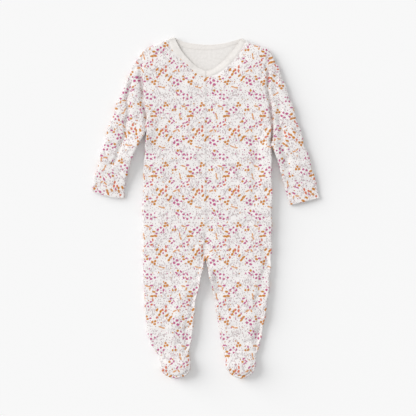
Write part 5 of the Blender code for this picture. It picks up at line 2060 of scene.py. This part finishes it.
@dataclass
class Stitching:
    """Rows of small stitches, set along lines on the cloth."""

    relief: Relief
    finishes: Finishes
    pitch: float = 2.9 * MM
    length: float = 2.1 * MM
    radius: float = 0.2 * MM
    sides: int = 6
    neck_inset: float = 1.9 * MM  # from the neck seam
    neck_lift: float = 0.1 * MM
    neck_margins: tuple[float, float] = (0.12, 0.1)  # stations left free at either end
    front_insets: tuple[float, ...] = (2.2 * MM, 12.5 * MM)  # from the front edge
    front_run: tuple[float, float] = (222 * MM, -60 * MM)  # heights between which they run
    cuff_insets: tuple[float, ...] = (8.0 * MM, 10.4 * MM)  # from the hem
    cuff_margin: float = 0.07  # share of the hem left free at either end

    def tree(self) -> bpy.types.GeometryNodeTree:
        """Makes the node tree that sets a stitch at every step along each line.

        Returns:
            The tree.
        """
        tree = bpy.data.node_groups.new("stitch_row", "GeometryNodeTree")
        face = tree.interface
        face.new_socket("Geometry", in_out="INPUT", socket_type="NodeSocketGeometry")
        for name in ("Pitch", "Length", "Radius"):
            face.new_socket(name, in_out="INPUT", socket_type="NodeSocketFloat")
        face.new_socket("Geometry", in_out="OUTPUT", socket_type="NodeSocketGeometry")
        kinds = ("NodeGroupInput", "GeometryNodeMeshToCurve", "GeometryNodeResampleCurve",
                 "GeometryNodeInputTangent", "FunctionNodeAlignRotationToVector",
                 "GeometryNodeMeshCylinder", "GeometryNodeInstanceOnPoints",
                 "GeometryNodeRealizeInstances", "GeometryNodeSetMaterial", "NodeGroupOutput")
        given, curve, spaced, tangent, turn, stitch, on, real, shade, made = map(tree.nodes.new, kinds)
        spaced.mode = "LENGTH"
        turn.axis = "Z"
        stitch.inputs["Vertices"].default_value = self.sides
        shade.inputs["Material"].default_value = self.finishes.thread
        for start, output, end, entry in (
            (given, "Geometry", curve, "Mesh"),
            (curve, "Curve", spaced, "Curve"),
            (given, "Pitch", spaced, "Length"),
            (spaced, "Curve", on, "Points"),
            (tangent, "Tangent", turn, "Vector"),
            (turn, "Rotation", on, "Rotation"),
            (given, "Length", stitch, "Depth"),
            (given, "Radius", stitch, "Radius"),
            (stitch, "Mesh", on, "Instance"),
            (on, "Instances", real, "Geometry"),
            (real, "Geometry", shade, "Geometry"),
            (shade, "Geometry", made, "Geometry"),
        ):
            tree.links.new(start.outputs[output], end.inputs[entry])
        return tree

    def row(self, tree: bpy.types.GeometryNodeTree, name: str, lines: Sequence[Array]) -> None:
        """Sews along lines and makes the stitches one piece.

        Args:
            tree: the tree that sets the stitches.
            name: the name of the row.
            lines: the points of each line.
        """
        mesh = bmesh.new()
        for line in lines:
            points = [mesh.verts.new(p) for p in line]
            for a, b in zip(points, points[1:]):
                mesh.edges.new((a, b))
        piece = placed_mesh(mesh, name)
        modifier = piece.modifiers.new("stitches", "NODES")
        modifier.node_group = tree
        sizes = {"Pitch": self.pitch, "Length": self.length, "Radius": self.radius}
        for socket in tree.interface.items_tree:
            if socket.name in sizes:
                modifier[socket.identifier] = sizes[socket.name]
        piece = realised(piece)
        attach(piece, "root")
        LOG.info("%s: %d faces", name, len(piece.data.polygons))

    def on_top(self, places: Array, sunk: Optional[Shape] = None, lift: float = 0.0) -> Array:
        """A line of plan points, laid on the top of the cloth."""
        height = self.relief.top(places) + lift - (sunk(places) if sunk else 0)
        return np.concatenate([places, height[:, None]], axis=1)

    def neck(self, side: SidePlan) -> Array:
        """The line along one front's neck, on the binding.

        Args:
            side: the outline.

        Returns:
            Its points.
        """
        _, seam = body_edges(side)
        edge = Curve(side.world(side.neck_edge))
        start, end = self.neck_margins
        rows = seam.stations(2 * MM, start, side.front_corner - end)
        inward = unit(edge(rows) - seam(rows))
        sunk = Body.underlap if side is LEFT else None
        return self.on_top(seam(rows) + inward * self.neck_inset, sunk, self.neck_lift)

    def cuff(self, side: SidePlan) -> list[Array]:
        """The lines round one cuff.

        Args:
            side: the outline.

        Returns:
            The points of each.
        """
        outer, inner = sleeve_edges(side)
        last = len(side.sleeve) - 1
        along = unit(outer(last) - outer(last - 0.3))
        share = np.linspace(self.cuff_margin, 1 - self.cuff_margin, 30)[:, None]
        bow = np.array([0, side.hem_bow * MM]) * np.sin(math.pi * share)
        straight = outer(last) + share * (inner(last) - outer(last))
        return [self.on_top(straight - along * inset - bow) for inset in self.cuff_insets]

    def build(self) -> None:
        """Sews the neck, the front edge and the cuffs."""
        tree = self.tree()
        self.row(tree, "neck_stitches", [self.neck(side) for side in (RIGHT, LEFT)])
        y = np.arange(*self.front_run, -3 * MM)
        front = [self.on_top(np.stack([np.full_like(y, -inset), y], axis=1)) for inset in self.front_insets]
        self.row(tree, "front_edge_stitches", front)
        for side in (RIGHT, LEFT):
            self.row(tree, f"cuff_stitches_{side.name}", self.cuff(side))


@dataclass(frozen=True)
class Lamp:
    """A far soft light, on the floor alone or on everything but the floor."""

    name: str
    azimuth: float  # the way it comes from, in degrees
    elevation: float
    spread: float  # in degrees
    power: float
    on_floor: bool


@dataclass
class Studio:
    """A pale floor, soft light from the upper left, and the camera straight above."""

    lamps: tuple[Lamp, ...] = (
        Lamp("low_key", 158, 14, 50, 4.7, True),
        Lamp("high_key", 142, 43, 30, 1.72, False),
    )
    ambient: float = 0.62
    backdrop: float = 0.93
    aim: tuple[float, float] = (0.0043, -0.0004)  # what the camera stands over
    height: float = 2.012
    lens: float = 100.0
    sensor: float = 36.0
    floor_size: float = 30.0
    floor_drop: float = 0.3 * MM
    papers: tuple = ((0.925, 0.925, 0.925, 1.0), (0.945, 0.945, 0.945, 1.0))

    def camera(self) -> None:
        """Makes the camera, looking straight down with the head end up."""
        data = bpy.data.cameras.new("camera")
        data.lens, data.sensor_width = self.lens, self.sensor
        data.clip_start, data.clip_end = 0.1, 20
        camera = bpy.data.objects.new("camera", data)
        camera.location = (*self.aim, self.height)
        bpy.context.scene.collection.objects.link(camera)
        bpy.context.scene.camera = camera

    def paper(self, shader: Shader) -> tuple[Socket]:
        """The floor's colour."""
        grain = shader.noise(shader.add("TexCoord").outputs["Object"], 400.0, 3.0)
        return (shader.mix(grain.outputs[0], *self.papers),)

    def floor(self) -> Piece:
        """Makes the floor, large and matt.

        Returns:
            The floor.
        """
        mesh = bmesh.new()
        bmesh.ops.create_grid(mesh, x_segments=1, y_segments=1, size=self.floor_size)
        floor = placed_mesh(mesh, "floor")
        floor.location.z = -self.floor_drop
        floor.data.materials.append(new_material("floor_paper", self.paper, 1.0, 0.0, 0.0))
        return floor

    def lamp(self, plan: Lamp, floor: Piece) -> None:
        """Makes a far soft light that shines to the middle of the garment.

        Args:
            plan: the light.
            floor: the floor, which it lights alone or leaves out.
        """
        data = bpy.data.lights.new(plan.name, "SUN")
        data.angle, data.energy = math.radians(plan.spread), plan.power
        lamp = bpy.data.objects.new(plan.name, data)
        turn, rise = math.radians(plan.azimuth), math.radians(plan.elevation)
        place = Vector((math.cos(turn) * math.cos(rise), math.sin(turn) * math.cos(rise), math.sin(rise)))
        lamp.location = place * self.height
        lamp.rotation_euler = (-place).to_track_quat("-Z", "Y").to_euler()
        bpy.context.scene.collection.objects.link(lamp)
        lit = bpy.data.collections.new(f"{plan.name}_lit")
        lit.objects.link(floor)
        lit.collection_objects[0].light_linking.link_state = "INCLUDE" if plan.on_floor else "EXCLUDE"
        lamp.light_linking.receiver_collection = lit

    def world(self) -> None:
        """Makes the even light from all round, which the camera sees as a paler backdrop."""
        world = bpy.data.worlds.new("studio")
        world.use_nodes = True
        shader, white = Shader(world.node_tree), (1.0, 1.0, 1.0, 1.0)
        light = shader.add("Background", {0: white, 1: self.ambient}).outputs[0]
        seen = shader.add("Background", {0: white, 1: self.backdrop}).outputs[0]
        path = shader.add("LightPath").outputs["Is Camera Ray"]
        both = shader.add("MixShader", {0: path, 1: light, 2: seen})
        shader.feed(world.node_tree.nodes["World Output"].inputs["Surface"], both.outputs[0])
        bpy.context.scene.world = world

    def build(self) -> None:
        """Sets up everything round the garment."""
        self.camera()
        floor = self.floor()
        for plan in self.lamps:
            self.lamp(plan, floor)
        self.world()
        bpy.context.scene.view_settings.view_transform = "Standard"


def main() -> None:
    """Builds every piece in order."""
    logging.basicConfig(level=logging.INFO, format="%(message)s")
    sides = (RIGHT, LEFT)
    Studio().build()
    relief, finishes = Relief(sides), Finishes.make()
    body, binding = Body(relief, finishes), NeckBinding(relief, finishes)
    body.back()
    binding.back()
    for side in sides:
        body.front(side)
        binding.front(side)
        Sleeve(relief, finishes, side).build()
        foot = Foot(relief, finishes, side)
        foot.sole()
        foot.upper()
    Stitching(relief, finishes).build()


if __name__ == "__main__":
    main()
